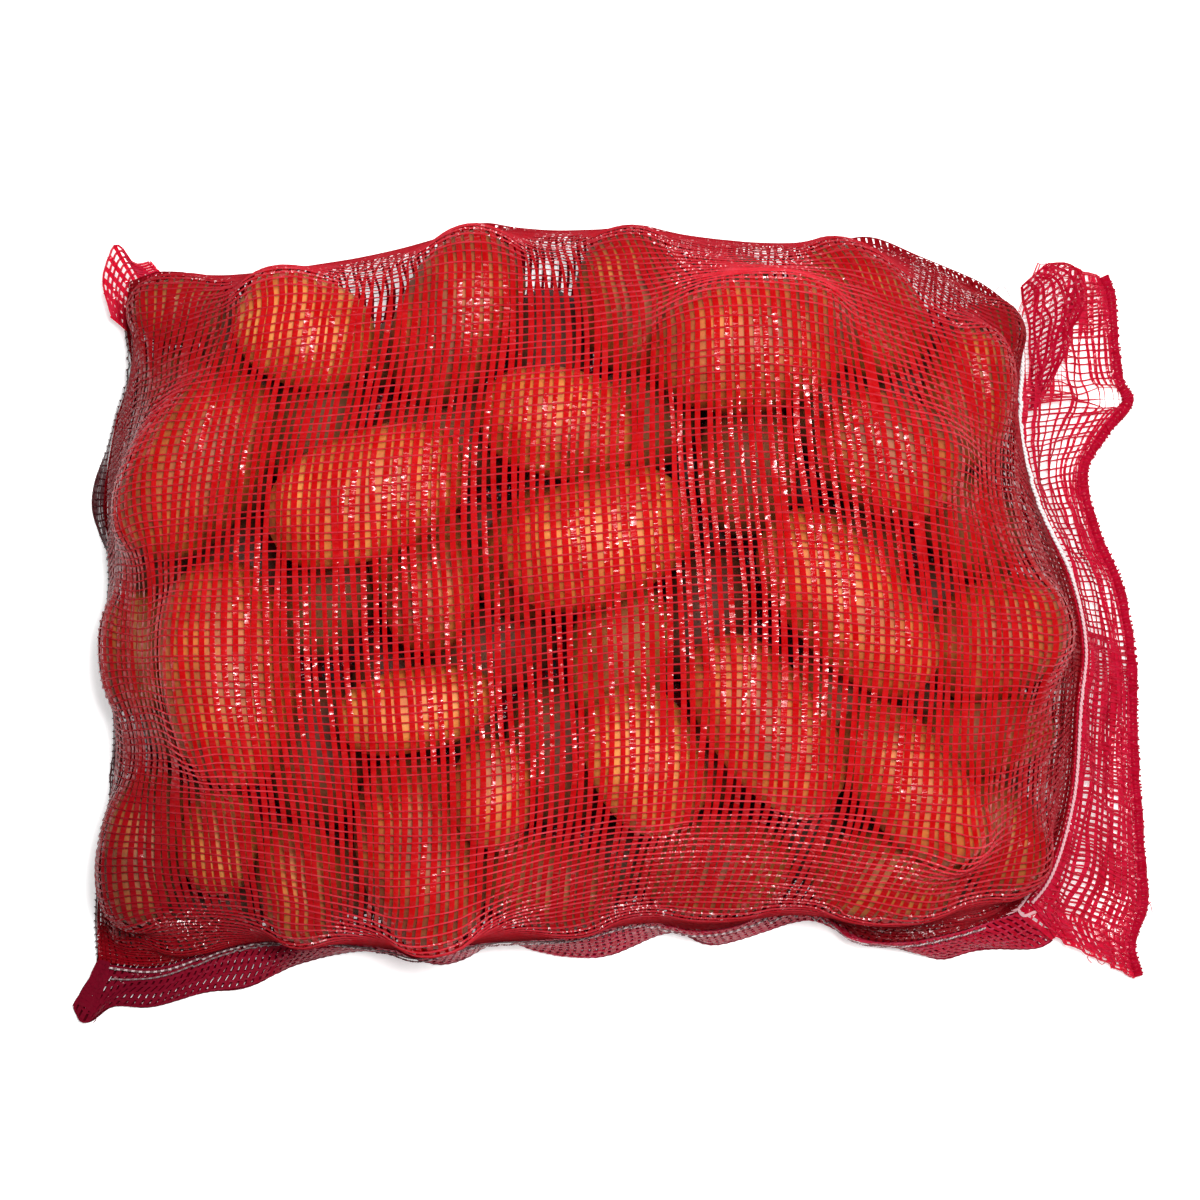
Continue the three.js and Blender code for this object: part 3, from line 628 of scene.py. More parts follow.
def finish(name, make):
    material = bpy.data.materials.new(name)
    material.use_nodes = True
    material.node_tree.nodes.clear()
    surface = make(material)
    add(material, "OutputMaterial", {"Surface": surface})
    return material


def ramp(material, fac, *stops):
    made = add(material, "ValToRGB", {"Fac": fac})
    elements = made.color_ramp.elements
    while len(elements) < len(stops):
        elements.new(0.5)
    for element, (place, colour) in zip(elements, stops):
        element.position, element.color = place, linear(colour)
    return made.outputs["Color"]


def stretched(material, vector, scale):
    return add(material, "Mapping", {"Vector": vector, "Scale": scale}).outputs["Vector"]


def darkened(m, tint, dark, way, start, end):
    """Painted shade: a tint that turns into a dark one, away from start to end in metres along a
    direction.
    """
    place = add(m, "TexCoord").outputs["Object"]
    along = add(m, "VectorMath", {0: place, 1: way}, operation="DOT_PRODUCT")
    share = add(m, "MapRange", {"Value": along.outputs["Value"], "From Min": start,
                                "From Max": end}).outputs["Result"]
    return add(m, "Mix", {"Factor": share, "A": linear(dark), "B": tint},
               data_type="RGBA").outputs["Result"]


def drawn_film(colours, through, gloss, darker, glow=0.5, flash="#d8d8d8"):
    """Polypropylene film, slit, drawn and woven: pinkish where it's lit from in front, deep red
    where light comes through it, with crinkles across that catch the light in short bars. Painted
    shade darkens it towards given places: each entry gives the dark colour, the direction towards
    the light, and the places between which it changes, in metres."""
    def make(m):
        weave = add(m, "Attribute", attribute_name="weave").outputs["Vector"]
        # the mark's second number is millimetres along the tape: folds 2 mm apart, fine lines 0.5
        folds = add(m, "TexNoise", {"Vector": stretched(m, weave, (0.22, 0.62, 3.7)), "Scale": 1.0,
                                    "Detail": 0.0})
        lines = add(m, "TexNoise", {"Vector": stretched(m, weave, (0.3, 2.2, 3.7)), "Scale": 1.0,
                                    "Detail": 2.0})
        uneven = add(m, "TexNoise", {"Vector": stretched(m, weave, (0.3, 0.12, 1.3)), "Scale": 1.0})
        tint = ramp(m, uneven.outputs["Fac"], (0.3, colours[0]), (0.7, colours[1]))
        # the sharpest folds are glossy enough to flash white
        shine = ramp(m, folds.outputs["Fac"], (0.52, gloss), (0.64, flash))
        tints = [tint, linear(through)]
        # painted shade, one entry after the other
        for shade in darker:
            tints = [darkened(m, bright, *shade) for bright in tints]
        fine = add(m, "Bump", {"Strength": 1.0, "Distance": 0.00005,
                               "Height": lines.outputs["Fac"]})
        bump = add(m, "Bump", {"Strength": 1.0, "Distance": 0.0006,
                               "Height": folds.outputs["Fac"], "Normal": fine.outputs["Normal"]})
        film = add(m, "BsdfPrincipled", {"Base Color": tints[0], "Roughness": 0.13, "IOR": 1.49,
                                         "Specular IOR Level": shine,
                                         "Normal": bump.outputs["Normal"]})
        lit = add(m, "BsdfTranslucent", {"Color": tints[1]})
        mixed = add(m, "MixShader", {"Fac": glow})
        m.node_tree.links.new(film.outputs[0], mixed.inputs[1])
        m.node_tree.links.new(lit.outputs[0], mixed.inputs[2])
        return mixed.outputs[0]
    return make


def potato_peel(m):
    """Washed potato skin: thin, matt and golden tan, freckled with lenticels, browner where it is
    scuffed or still has soil on it, and darkened by painted shade deep in the bag."""
    place = add(m, "TexCoord").outputs["Object"]
    tone = add(m, "Attribute", attribute_name="tone").outputs["Fac"]
    patches = add(m, "TexNoise", {"Vector": place, "Scale": 45.0, "Detail": 4.0, "Roughness": 0.6})
    shade = add(m, "Math", {0: patches.outputs["Fac"], 1: tone}, operation="ADD").outputs[0]
    shade = add(m, "Math", {0: shade, 1: 0.5}, operation="SUBTRACT").outputs[0]
    skin = ramp(m, shade, (0.25, "#703612"), (0.42, "#964c1a"), (0.6, "#b46424"), (0.8, "#ce8a42"))
    soil = add(m, "TexNoise", {"Vector": place, "Scale": 110.0, "Detail": 5.0, "Roughness": 0.7})
    soil = ramp(m, soil.outputs["Fac"], (0.6, "#000000"), (0.72, "#a0a0a0"))
    skin = add(m, "Mix", {"Factor": soil, "A": skin, "B": linear("#6d4a22")}, data_type="RGBA")
    # lenticels about 4 mm apart and under a millimetre across
    dots = add(m, "TexVoronoi", {"Vector": place, "Scale": 240.0, "Randomness": 1.0})
    dots = ramp(m, dots.outputs["Distance"], (0.1, "#b0b0b0"), (0.22, "#000000"))
    skin = add(m, "Mix", {"Factor": dots, "A": skin.outputs["Result"], "B": linear("#7a5126")},
               data_type="RGBA")
    # painted shade: darker deep in the bag
    skin = darkened(m, skin.outputs["Result"], *DEEP_PAINTED_SHADE)
    grain = add(m, "TexNoise", {"Vector": place, "Scale": 700.0, "Detail": 4.0})
    bump = add(m, "Bump", {"Strength": 0.5, "Distance": 0.0005, "Height": grain.outputs["Fac"]})
    return add(m, "BsdfPrincipled", {"Base Color": skin, "Roughness": 0.62,
                                     "Normal": bump.outputs["Normal"]}).outputs[0]


def spun_yarn(colours, stitch=0, tint_towards_stitched_side=None):
    """Spun polyester sewing yarn: matt plies, with painted shade that greys their grooves. Stitches
    of a length in millimetres get a reddish painted shade where the yarn dips into the net. A given
    tint takes over towards the stitched side."""
    def make(m):
        weave = add(m, "Attribute", attribute_name="weave").outputs["Vector"]
        fibres = add(m, "TexNoise", {"Vector": stretched(m, weave, (2.0, 0.8, 3.0)), "Scale": 1.0,
                                     "Detail": 4.0, "Roughness": 0.7})
        # painted shade: where the noise is low, in the plies' grooves, the yarn is greyer
        tint = ramp(m, fibres.outputs["Fac"], (0.35, colours[0]), (0.6, colours[1]))
        if stitch:
            along = add(m, "SeparateXYZ", {"Vector": weave}).outputs["Y"]
            turn = add(m, "Math", {0: along, 1: 2 * math.pi / stitch}, operation="MULTIPLY")
            dip = add(m, "Math", {0: turn.outputs[0]}, operation="SINE")
            dip = ramp(m, dip.outputs[0], (0.0, "#000000"), (0.5, "#ffffff"))
            # painted shade where the yarn dips into the net
            tint = add(m, "Mix", {"Factor": dip, "A": linear("#6a3a40"), "B": tint},
                       data_type="RGBA").outputs["Result"]
        if tint_towards_stitched_side:
            # towards the stitched side the given tint takes over
            place = add(m, "TexCoord").outputs["Object"]
            up = add(m, "SeparateXYZ", {"Vector": place}).outputs["Y"]
            share = add(m, "MapRange", {"Value": up, "From Min": -0.01, "From Max": 0.03})
            tint = add(m, "Mix", {"Factor": share.outputs["Result"], "A": linear(tint_towards_stitched_side), "B": tint},
                       data_type="RGBA").outputs["Result"]
        bump = add(m, "Bump", {"Strength": 0.6, "Distance": 0.0003,
                               "Height": fibres.outputs["Fac"]})
        return add(m, "BsdfPrincipled", {"Base Color": tint, "Roughness": 0.8,
                                         "Sheen Weight": 0.3,
                                         "Normal": bump.outputs["Normal"]}).outputs[0]
    return make


# Painted shade: the colour, the direction out of the shade, where the shade ends and where the
# light begins, in metres
CORNER_PAINTED_SHADE = ("#8c0a18", (1, 1, 0), -0.34, -0.23)    # painted shade at the near corner of the closed end
TRIM_PAINTED_SHADE = ("#7c0c24", (1, 0, 0), -0.2, -0.06)       # painted shade on the flange towards that corner
UNDER_PAINTED_SHADE = ("#560614", (1, 0, 0), -0.22, -0.02)     # painted shade on the layer under it
LOW_PAINTED_SHADE = ("#9c0c1a", (0, 0, 1), 0.01, 0.08)         # painted shade on the net low on the bag's walls
DEEP_PAINTED_SHADE = ("#3a140a", (0, 0, 1), 0.02, 0.065)       # painted shade on potatoes deep in the bag
# one layer of net, clear red
net_film = finish("drawn_polypropylene_tape",
                  drawn_film(("#bc080c", "#d01a20"), "#f60604", "#585858", (CORNER_PAINTED_SHADE, LOW_PAINTED_SHADE)))
net_thread = finish("drawn_polypropylene_thread",
                    drawn_film(("#cc2434", "#e24c5c"), "#f41414", "#606060", (CORNER_PAINTED_SHADE, LOW_PAINTED_SHADE)))
# several loose layers, more crimson
dense_film = finish("folded_polypropylene_net",
                    drawn_film(("#c00c30", "#d82048"), "#ec002a", "#686868", (CORNER_PAINTED_SHADE,)))
dense_thread = finish("folded_polypropylene_thread",
                      drawn_film(("#c8163c", "#e03c5e"), "#ec0828", "#707070", (CORNER_PAINTED_SHADE,)))
# layers pressed flat beside the stitching, with less gloss and painted shade towards the closed end
shaded_film = finish("pressed_polypropylene_net",
                     drawn_film(("#b80e28", "#cc2442"), "#cc0422", "#484848", (TRIM_PAINTED_SHADE,), 0.4, "#707070"))
shaded_thread = finish("pressed_polypropylene_thread",
                       drawn_film(("#be1c3a", "#d64464"), "#cc0422", "#484848", (TRIM_PAINTED_SHADE,), 0.4, "#707070"))
# the rolled hem and the turned corner, deeper still
rolled_film = finish("rolled_polypropylene_net",
                     drawn_film(("#a00420", "#bc1034"), "#dc0018", "#303030", (CORNER_PAINTED_SHADE,), 0.4, "#606060"))
rolled_thread = finish("rolled_polypropylene_thread",
                       drawn_film(("#a80828", "#c4183e"), "#dc0018", "#303030", (CORNER_PAINTED_SHADE,), 0.4, "#606060"))
# layers that others cover: a darker copy, with painted shade that leaves them nearly dark
turned_film = finish("turned_polypropylene_net",
                     drawn_film(("#880824", "#a01236"), "#ac001e", "#303030", (UNDER_PAINTED_SHADE,), 0.4, "#606060"))
peel = finish("washed_potato_skin", potato_peel)
# the mouth's thick thread: nearly white, and pinkish towards the stitched side
yarn = finish("spun_polyester_yarn", spun_yarn(("#b4a8a8", "#f6f0ef"), 0, "#d8a2a8"))
# the thinner one of the long side, which shows its single stitches
seam_yarn = finish("sewn_polyester_yarn", spun_yarn(("#8e787a", "#dccccc"), 3.6))
# and the one beside it, grey
grey_yarn = finish("grey_polyester_yarn", spun_yarn(("#4e484a", "#8c8484"), 3.6))


# ------------------------------------------------------------ potatoes
def potato(bm, number, subdivisions, tone):
    """One potato inside its own superellipsoid: lumps, knobs and eyes only go inwards."""
    made = bmesh.ops.create_icosphere(bm, subdivisions=subdivisions, radius=1)["verts"]
    seed = Vector((number * 7.3, number * 3.1, number * 5.7))
    c, s, _ = heading[number]
    shade = rng.normal() * 0.09
    eyes = [Vector(v).normalized() for v in rng.normal(size=(9, 3)) * (1, 0.8, 0.8)]
    for vert in made:
        way = vert.co.normalized()
        q = sum(abs(x) ** ROUNDNESS for x in way) ** (1 / ROUNDNESS)
        lump = 0.5 + 0.5 * noise.noise(way * 1.3 + seed)
        knob = 0.5 + 0.5 * noise.noise(way * 3.6 + seed)
        eye = max(max(0, 1 - (way - e).length / 0.2) for e in eyes)
        size = (1 - 0.07 * lump - 0.03 * knob - 0.035 * eye**2) / q
        x, y, z = (n * reach for n, reach in zip(way * size, half[number]))
        at = middles[number] + CENTRED
        vert.co = Vector((at[0] + x * c - y * s, at[1] + x * s + y * c, at[2] + z)) * 0.001
        vert[tone] = 0.5 + shade - 0.35 * eye**2


def potatoes(name, numbers, subdivisions):
    bm = bmesh.new()
    tone = bm.verts.layers.float.new("tone")
    for number in numbers:
        potato(bm, number, subdivisions, tone)
    mesh = bpy.data.meshes.new(name)
    bm.to_mesh(mesh)
    bm.free()
    mesh.shade_smooth()
    piece(name, mesh, peel, "potato_skin", "filled_net")


# stretches that are seen through stay empty: an upper one isn't made, a lower one lies further in
LEFT_OUT, MOVED_IN = 10, len(upper) + 10
middles[MOVED_IN, 1] -= 14
potatoes("upper_potatoes", [n for n in range(len(upper)) if n != LEFT_OUT], 4)
potatoes("lower_potatoes", range(len(upper), len(half)), 3)

# ------------------------------------------------------------ the net over and under them
# in the middle of the bag, beside the mouth, and where it's seen through
TAPE_HALF_WIDTH, THREAD_RADIUS = (1.26, 1.3, 0.72), (0.4, 0.46, 0.26)
MOST_MIDDLE, MOST_MOUTH = 0.385, 0.37   # and at most this share of the way to the next tape
TAPE_DRIFT, THREAD_DRIFT = 0.45, 0.35


def by_place(sheet, middle, beside_mouth, seen_through):
    """A width for each crossing of a sheet, from the three named above."""
    return mix(mix(middle, beside_mouth, tightness(sheet)), seen_through, openness(sheet))


net = slack(net, TAPE_DRIFT, THREAD_DRIFT)
for name, sheet in (("upper_tapes", net[:, :THREADS + 1]), ("lower_tapes", net[:, THREADS:])):
    most = mix(MOST_MIDDLE, MOST_MOUTH, tightness(sheet))
    rings, marks = tape_rings(sheet, by_place(sheet, *TAPE_HALF_WIDTH), 1, most)
    piece(name, strips(name, rings, marks), net_film, "net_red", "filled_net")
for name, sheet in (("upper_threads", net[:, 1:THREADS + 1]), ("lower_threads", net[:, THREADS + 1:-1])):
    rings, marks = thread_rings(sheet, by_place(sheet, *THREAD_RADIUS), 0.35, 3, 1)
    piece(name, strips(name, rings, marks), net_thread, "net_red", "filled_net")

# ------------------------------------------------------------ trim beside the seams
SEAM_GAP, FLANGE_DROP = 0.9, -1.2       # a flange starts this far out of its seam, and lower
THREAD_OUT, THREAD_UP = 2.0, 1.2        # stitching lies further out, and higher
CUT_EDGE, END_EDGE, HEM_START = 1.3, 1.4, 3.3   # heights of the outer edges, and of the hem's inside


def outward(line, t, turn):
    """The level direction out of an outline, on its right-hand side."""
    along = line(np.minimum(1, t + 0.004)) - line(np.maximum(0, t - 0.004))
    return unit(np.stack([along[..., 1], -along[..., 0], 0 * along[..., 0]], -1) * turn)


def beside(line, t, turn, out, up):
    """A point beside a seam, out past every net crossing close to it."""
    point, away = line(t), outward(line, t, turn)
    point[..., 2] += up
    gap = crossings - point[:, None]
    near = (np.linalg.norm(gap, axis=-1) < NEAR_SEAM) & (abs(gap[..., 2]) < NEAR_LEVEL)
    reach = np.where(near, (gap * away[:, None]).sum(-1), 0).max(axis=1)
    return clear_of(point + away * (reach + out)[:, None], TRIM_GAP)


def sheet_between(start, end, rows, rise=0):
    """A woven sheet from one line of points to another: net[column, row]. It rises by so much
    in the first third of its way out."""
    out = np.linspace(0, 1, rows + 1)[None, :, None]
    laid = mix(start[:, None], end[:, None], out)
    laid[..., 2] += rise * np.minimum(1, 3 * out[..., 0])
    return laid


def four_cornered(corners, columns, rows, uneven):
    """A sheet between four corners, named in turn, and a little crumpled: net[column, row]."""
    s, t = np.linspace(0, 1, columns + 1)[:, None, None], np.linspace(0, 1, rows + 1)[None, :, None]
    first, second, third, fourth = np.array(corners, float)
    laid = mix(mix(first, fourth, t), mix(second, third, t), s)
    return laid + wander(columns, rows, 3, uneven)


def woven(name, net, half_width, radius, films, slot, *nodes, lift=0.35, most=0.46):
    """The tapes along the columns of a net, and the threads along its rows."""
    tapes = strips(name + "_tapes", *tape_rings(net, half_width, 2, most))
    piece(name + "_tapes", tapes, films[0], slot, *nodes)
    threads = strips(name + "_threads", *thread_rings(net, radius, lift, 3))
    piece(name + "_threads", threads, films[1], slot, *nodes)


dense, shaded = (dense_film, dense_thread), (shaded_film, shaded_thread)
rolled, covered = (rolled_film, rolled_thread), (turned_film, turned_film)

# the stitched side: both layers of the net run on past the seam, out to their cut edge
t = np.linspace(0.001, 0.999, TAPES + 1)
flange_start = beside(side_seam, t, 1, SEAM_GAP, FLANGE_DROP)
flange_end = outline(FLANGE_EDGE)(t)
flange_end[:, 2] = CUT_EDGE
tucked = outward(side_seam, t, 1) * 3 + np.array([0, 0, 3])     # the lower layer starts further in
for layer, height, inward in (("side_flange_top", 1.7, 0), ("side_flange_under", 0.3, tucked)):
    sheet = sheet_between(flange_start - inward, flange_end, 6, height)
    sheet[..., 2] += wander(TAPES, 6, 2, 0.25)[..., 0] * np.linspace(0, 1, 7)
    shift = wander(6, TAPES, 6, 0.5).transpose(1, 0, 2)
    sheet = clear_of(sheet + shift * np.array([1, 0.4, 0]), 1.2 + height)
    sheet[..., 2] = np.maximum(sheet[..., 2], 0.5)
    if layer == "side_flange_under":
        # its crossings show through the openings of the layer above
        sheet = mix(sheet[:-1], sheet[1:], 0.12)
        sheet[:, 1:-1] = mix(sheet[:, 1:-1], sheet[:, 2:], 0.3)
        woven(layer, sheet, 1.4, 1.05, covered, "net_red", "side_seam", most=0.45)
    else:
        woven(layer, sheet, 1.0, 0.55, shaded, "net_red", "side_seam", most=0.36)

# its end outside the end seam is folded over
folded = four_cornered([(-218, -141, 8), (-213, -142, 9), (-221, -163, 4), (-227, -158, 4)], 4, 12, 0.3)
woven("flange_corner", folded, 1.3, 0.9, shaded, "net_red", "side_seam", most=0.48)

# net gathered in that corner, inside the bag
GATHERED = [(-218, -142, 4), (-186, -140, 3), (-196, -112, 4), (-213, -104, 5)]
for layer, level, films, most in (("gathered_top", 1.2, (net_film, net_thread), 0.36),
                                  ("gathered_under", -0.6, covered, 0.49)):
    sheet = four_cornered(GATHERED, 10, 11, 0.3) + np.array([0, 0, level])
    woven(layer, sheet, 1.3, 0.5, films, "net_red", "side_seam", most=most)

# the closed end: it hardly shows past the bag, but for two places
t = np.linspace(0.01, 0.93, 96)
peeps = sum(size * np.exp(-(((t - place) / 0.06) ** 2)) for place, size in ((0.28, 3.2), (0.68, 4)))
end_start = beside(end_seam, t, -1, SEAM_GAP, FLANGE_DROP)
end_edge = end_start + outward(end_seam, t, -1) * (1.2 + peeps)[:, None]
end_edge[:, 2] = END_EDGE
sheet = sheet_between(end_start, end_edge, 4).transpose(1, 0, 2)
woven("end_flange", sheet[::-1], 1.4, 0.5, covered, "net_crimson", "end_seam", most=0.49)

# the flap beyond the stitched mouth
hem_edge = outline(HEM_EDGE)
TIP_DROP = 4.5           # its two corners hang this much below the ends of the mouth


def flap_root(t):
    """Where the flap starts: beside the stitching, and past its ends on to the two corners."""
    low, high = 0.04, 0.95
    share = mix(*STITCHED, np.clip((t - low) / (high - low), 0, 1))
    root = beside(mouth, share, 1, SEAM_GAP, FLANGE_DROP)
    for end, corner, height in ((t < low, FLAP_BOTTOM, MOUTH_HEIGHT[0]),
                                (t > high, FLAP_TOP, MOUTH_HEIGHT[2])):
        past = np.where(t < low, (low - t) / low, (t - high) / (1 - high))[:, None]
        tip = np.array([*corner, height - TIP_DROP])
        root = np.where(end[:, None], mix(root, tip, past), root)
    return root


FLAP_TAPES, FLAP_THREADS = 14, 104
t = np.linspace(0, 1, FLAP_THREADS + 1)
root = flap_root(t)
hem_inner = hem_edge(t) + outward(hem_edge, t, -1) * (HEM_WIDTH - 0.5)
hem_inner[:, 2] = HEM_START
out = np.linspace(0, 1, FLAP_TAPES + 1)[:, None]
out = out - 0.045 * np.sin(2 * math.pi * out)       # bunched beside the stitching and the hem
open_end = mix(0.8, 0.9, smooth(0.35, 0.6, out))
open_part = smooth(0.44, 0.5, t) * smooth(0.04, 0, t - open_end)
under_fold = smooth(0.83, 0.87, t) * smooth(0.55, 0.45, out)
TEAR = t[np.argmax(np.where(t > 0.55, hem_edge(t)[:, 0], 0))]      # where the hem points outwards
SLIT = 0.43
torn = np.exp(-(((t - TEAR) / 0.02) ** 2)) * smooth(0.6, 0.8, out)
slit = np.exp(-(((t - SLIT) / 0.06) ** 2)) * smooth(0.75, 0.9, out)
crumple = wander(FLAP_TAPES, FLAP_THREADS, 6, 0.75) * np.array([1, 0.3, 0.6])
crumple += wander(FLAP_THREADS, FLAP_TAPES, 4, 0.6).transpose(1, 0, 2) * np.array([0, 1, 0.3])
crumple *= (np.sin(math.pi * out) ** 0.5)[..., None]


def flap_layer(level, shift):
    """The flap's net, flap[tape, thread]: crumpled, torn beside the hem, and with one layer
    hidden behind the other where it's open."""
    lay = mix(root[None], hem_inner[None], out[..., None])
    height = mix(root[None, :, 2], HEM_START, smooth(0, 0.75, out))
    waves = np.sin(31 * t + 2) * np.sin(math.pi * out) + 0.6 * np.sin(53 * t) * out * (1 - out)
    lay[..., 2] = height + 2.2 * waves + level
    lay = lay + crumple
    drift = shift * (1 - open_part) * (0.7 + 0.5 * np.sin(23 * t))
    lay[..., 1] += 1.9 * drift + 4 * torn * np.sign(t - TEAR)
    lay[..., 0] += 1.5 * drift * np.sin(math.pi * out)
    lay[..., 2] = np.maximum(lay[..., 2], 0.8)
    return lay


broad = mix(mix(0.88, 0.6, open_part), 1.1, smooth(0.25, 0.1, out))
broad = mix(broad, 0.2, under_fold) * (1 - 0.9 * np.maximum(torn, slit))
broad = broad[..., None] * (1 + wander(FLAP_TAPES, FLAP_THREADS, 7, 0.22))
thick = (mix(mix(0.54, 0.38, open_part), 0.14, under_fold) * (1 - 0.8 * torn))[..., None]
for name, level, shift in (("flap_top", 0.4, 0.0), ("flap_under", -0.9, 1.0)):
    woven(name, flap_layer(level, shift), broad, thick, dense, "net_red", "mouth_flap", lift=0.4)

# the flap's far corner is folded back on itself
s, t = np.linspace(0, 1, 9)[:, None, None], np.linspace(0, 1, 25)[None, :, None]
left = outline([(169, 142), (171, 118), (172, 91)])(t[..., 0])
right = outline([(178, 150), (189, 150), (194, 136), (189, 121), (176, 92)])(t[..., 0])
turned = mix(left, right, s)
turned[..., 2] = 10.8 + 0.8 * np.sin(5 * s + 7 * t)[..., 0]
turned = turned + wander(8, 24, 3, 0.8) * np.array([1, 0.8, 0.6])
woven("flap_corner", turned, 0.75, 0.6, rolled, "net_red", "mouth_flap", lift=0.4)

# where the two seams meet, the net is drawn together into a fold
gusset = four_cornered([(163, -119, 13), (176, -100, 14), (184, -107, 10), (182, -131, 8)], 8, 7, 0.4)
woven("seam_gusset", gusset, 1.2, 0.6, dense, "net_red", "mouth_flap")

# the ear of net outside the end of the folded side
s, t = np.linspace(0, 1, 9)[None, :], np.linspace(0, 1, 11)[:, None]
ear = mix(outline(EAR_START)(t) + EAR_TUCK, outline(EAR_END)(t), s[..., None])
ear[..., 2] = mix(12, 16, s) + 1.2 * np.sin(3 - 3 * s + 4 - 4 * t)
woven("corner_ear", ear, 1.0, 0.6, dense, "net_red", "corner_ear")


# ------------------------------------------------------------ hem, stitching and loose ends
def frames(paths):
    """The level direction across each path and the upward one."""
    ahead = unit(np.gradient(paths, axis=1))
    side = unit(np.cross(ahead, [0.0, 0.0, 1.0]))
    return side, np.cross(side, ahead)


def cord_rings(paths, wide, high, sides):
    """Closed strips of oval section along paths[path, point]; wide and high may vary."""
    side, up = frames(paths)
    run = run_of(paths)
    number = np.broadcast_to(np.arange(len(paths))[:, None], run.shape)
    rings, marks = [], []
    for angle in np.arange(sides) * 2 * math.pi / sides:
        rings.append(paths + side * wide * math.cos(angle) + up * high * math.sin(angle))
        marks.append(np.stack([np.full_like(run, math.cos(angle)), run, number], -1))
    return np.stack(rings, axis=2), np.stack(marks, axis=2)


def stitched(name, path, size, material, node):
    """A sewing thread along a path: two plies as thick as the size, laid round each other."""
    side, up = frames(path[None])
    lay, radius, pitch = size * 0.42, size * 0.5, np.mean(size) * 4.2
    turn = run_of(path[None])[0] / pitch * 2 * math.pi
    plies = []
    for start in (0, math.pi):
        angle = (turn + start)[:, None]
        plies.append(path + (side[0] * np.cos(angle) + up[0] * np.sin(angle)) * lay)
    made = strips(name, *cord_rings(np.array(plies), radius, radius, 6))
    piece(name, made, material, "thread_white", node)


t = np.linspace(0.01, 0.965, 900)
stitched("side_stitching", beside(side_seam, t, 1, THREAD_OUT, THREAD_UP), 0.5, seam_yarn, "side_thread")
# the looper thread strays from the seam towards the flange's edge
LOOPER_EDGE, LOOPER_LIFT = 3.4, np.array([0, 0, 1.0])
t = np.linspace(0.02, 0.5, 420)
looper, edge = beside(side_seam, t, 1, SEAM_GAP, THREAD_UP), outline(FLANGE_EDGE)(t)
edge[:, 2] = LOOPER_EDGE
share = mix(6.2, 1.6, smooth(0.05, 0.24, t)) / np.linalg.norm(edge - looper, axis=1)
share = np.minimum(0.5, share)[:, None]
stitched("side_looper", mix(looper, edge, share) + LOOPER_LIFT, 0.42, grey_yarn, "side_thread")
# the mouth's thread, thicker in its far half
t = np.linspace(*STITCHED, 700)
size = mix(0.75, 1.05, smooth(0.5, 0.62, t))[:, None]
stitched("mouth_stitching", beside(mouth, t, 1, THREAD_OUT, THREAD_UP), size, yarn, "mouth_thread")

# the hem: the net's edge rolled over and bunched into a dense band
BAND_POINTS, LUMPS = 240, 60
BAND_LEVEL, BAND_HALF_HEIGHT = 2.3, 1.9
t = np.linspace(0, 1, BAND_POINTS)
band = hem_edge(t) + outward(hem_edge, t, -1) * (HEM_WIDTH / 2)
band[:, 2] = BAND_LEVEL
lumps = np.interp(np.linspace(0, LUMPS - 1, BAND_POINTS), np.arange(LUMPS),
                  rng.normal(size=LUMPS) * 0.09)
full = (0.95 + lumps)[None, :, None]
rings, marks = cord_rings(band[None], HEM_WIDTH / 2 * full, BAND_HALF_HEIGHT * full, 14)
piece("mouth_hem_band", strips("mouth_hem_band", rings, marks), rolled_film, "net_crimson",
      "mouth_hem")

# threads of the net wrapped round the band
WRAPS, WRAP_LEVEL, WRAP_RISE = 170, 2.2, 2.0
t = (np.arange(WRAPS) + 0.5) / WRAPS
middle, away = hem_edge(t), outward(hem_edge, t, -1)
middle = middle + away * (HEM_WIDTH / 2)
angle = np.linspace(-0.15, math.pi + 0.15, 9)[None, :, None]    # over the top, from side to side
lean = rng.normal(size=(WRAPS, 1, 1)) * 0.7
along = np.cross(away, [0.0, 0.0, 1.0])[:, None]
wraps = middle[:, None] + away[:, None] * np.cos(angle) * (HEM_WIDTH / 2 + 0.1)
wraps = wraps + along * np.cos(angle) * lean
wraps[..., 2] = WRAP_LEVEL + WRAP_RISE * np.sin(angle[..., 0])
wraps += rng.normal(size=(WRAPS, 1, 3)) * np.array([0.12, 0.12, 0.1])
piece("mouth_hem_wraps", strips("mouth_hem_wraps", *cord_rings(wraps, 0.42, 0.3, 4)), rolled_thread,
      "net_crimson", "mouth_hem")

# loose ends, laid where they show from above: pixels across and down, then the height
PIXEL = 0.41             # millimetres each
MIDDLE_ACROSS, MIDDLE_DOWN = 620, 625       # the pixel over the layout's origin
FRAYED_THREADS = [
    [(1146, 900, 3), (1156, 903, 4), (1163, 911, 3), (1166, 920, 1)],
    [(1146, 904, 3), (1154, 909, 3), (1160, 912, 2), (1165, 909, 1)],
    [(1144, 972, 3), (1148, 980, 3), (1143, 986, 2), (1139, 982, 1)],
    [(1112, 955, 4), (1108, 966, 4), (1114, 973, 2), (1120, 968, 1)],
    [(1098, 948, 5), (1102, 958, 4), (1099, 966, 3), (1104, 972, 1)],
    [(84, 1018, 2), (81, 1024, 2), (84, 1029, 1), (81, 1033, 1)],
]
STITCH_ENDS = [
    [(1044, 887, 16), (1033, 903, 16), (1024, 914, 16), (1012, 919, 15), (1004, 920, 13)],
    [(1024, 913, 16), (1031, 921, 14), (1042, 918, 12), (1054, 914, 11), (1062, 915, 9)],
]
LOOSE_END = [[(1000, 288, 20), (1004, 283, 20), (1011, 283, 18), (1017, 291, 14)]]
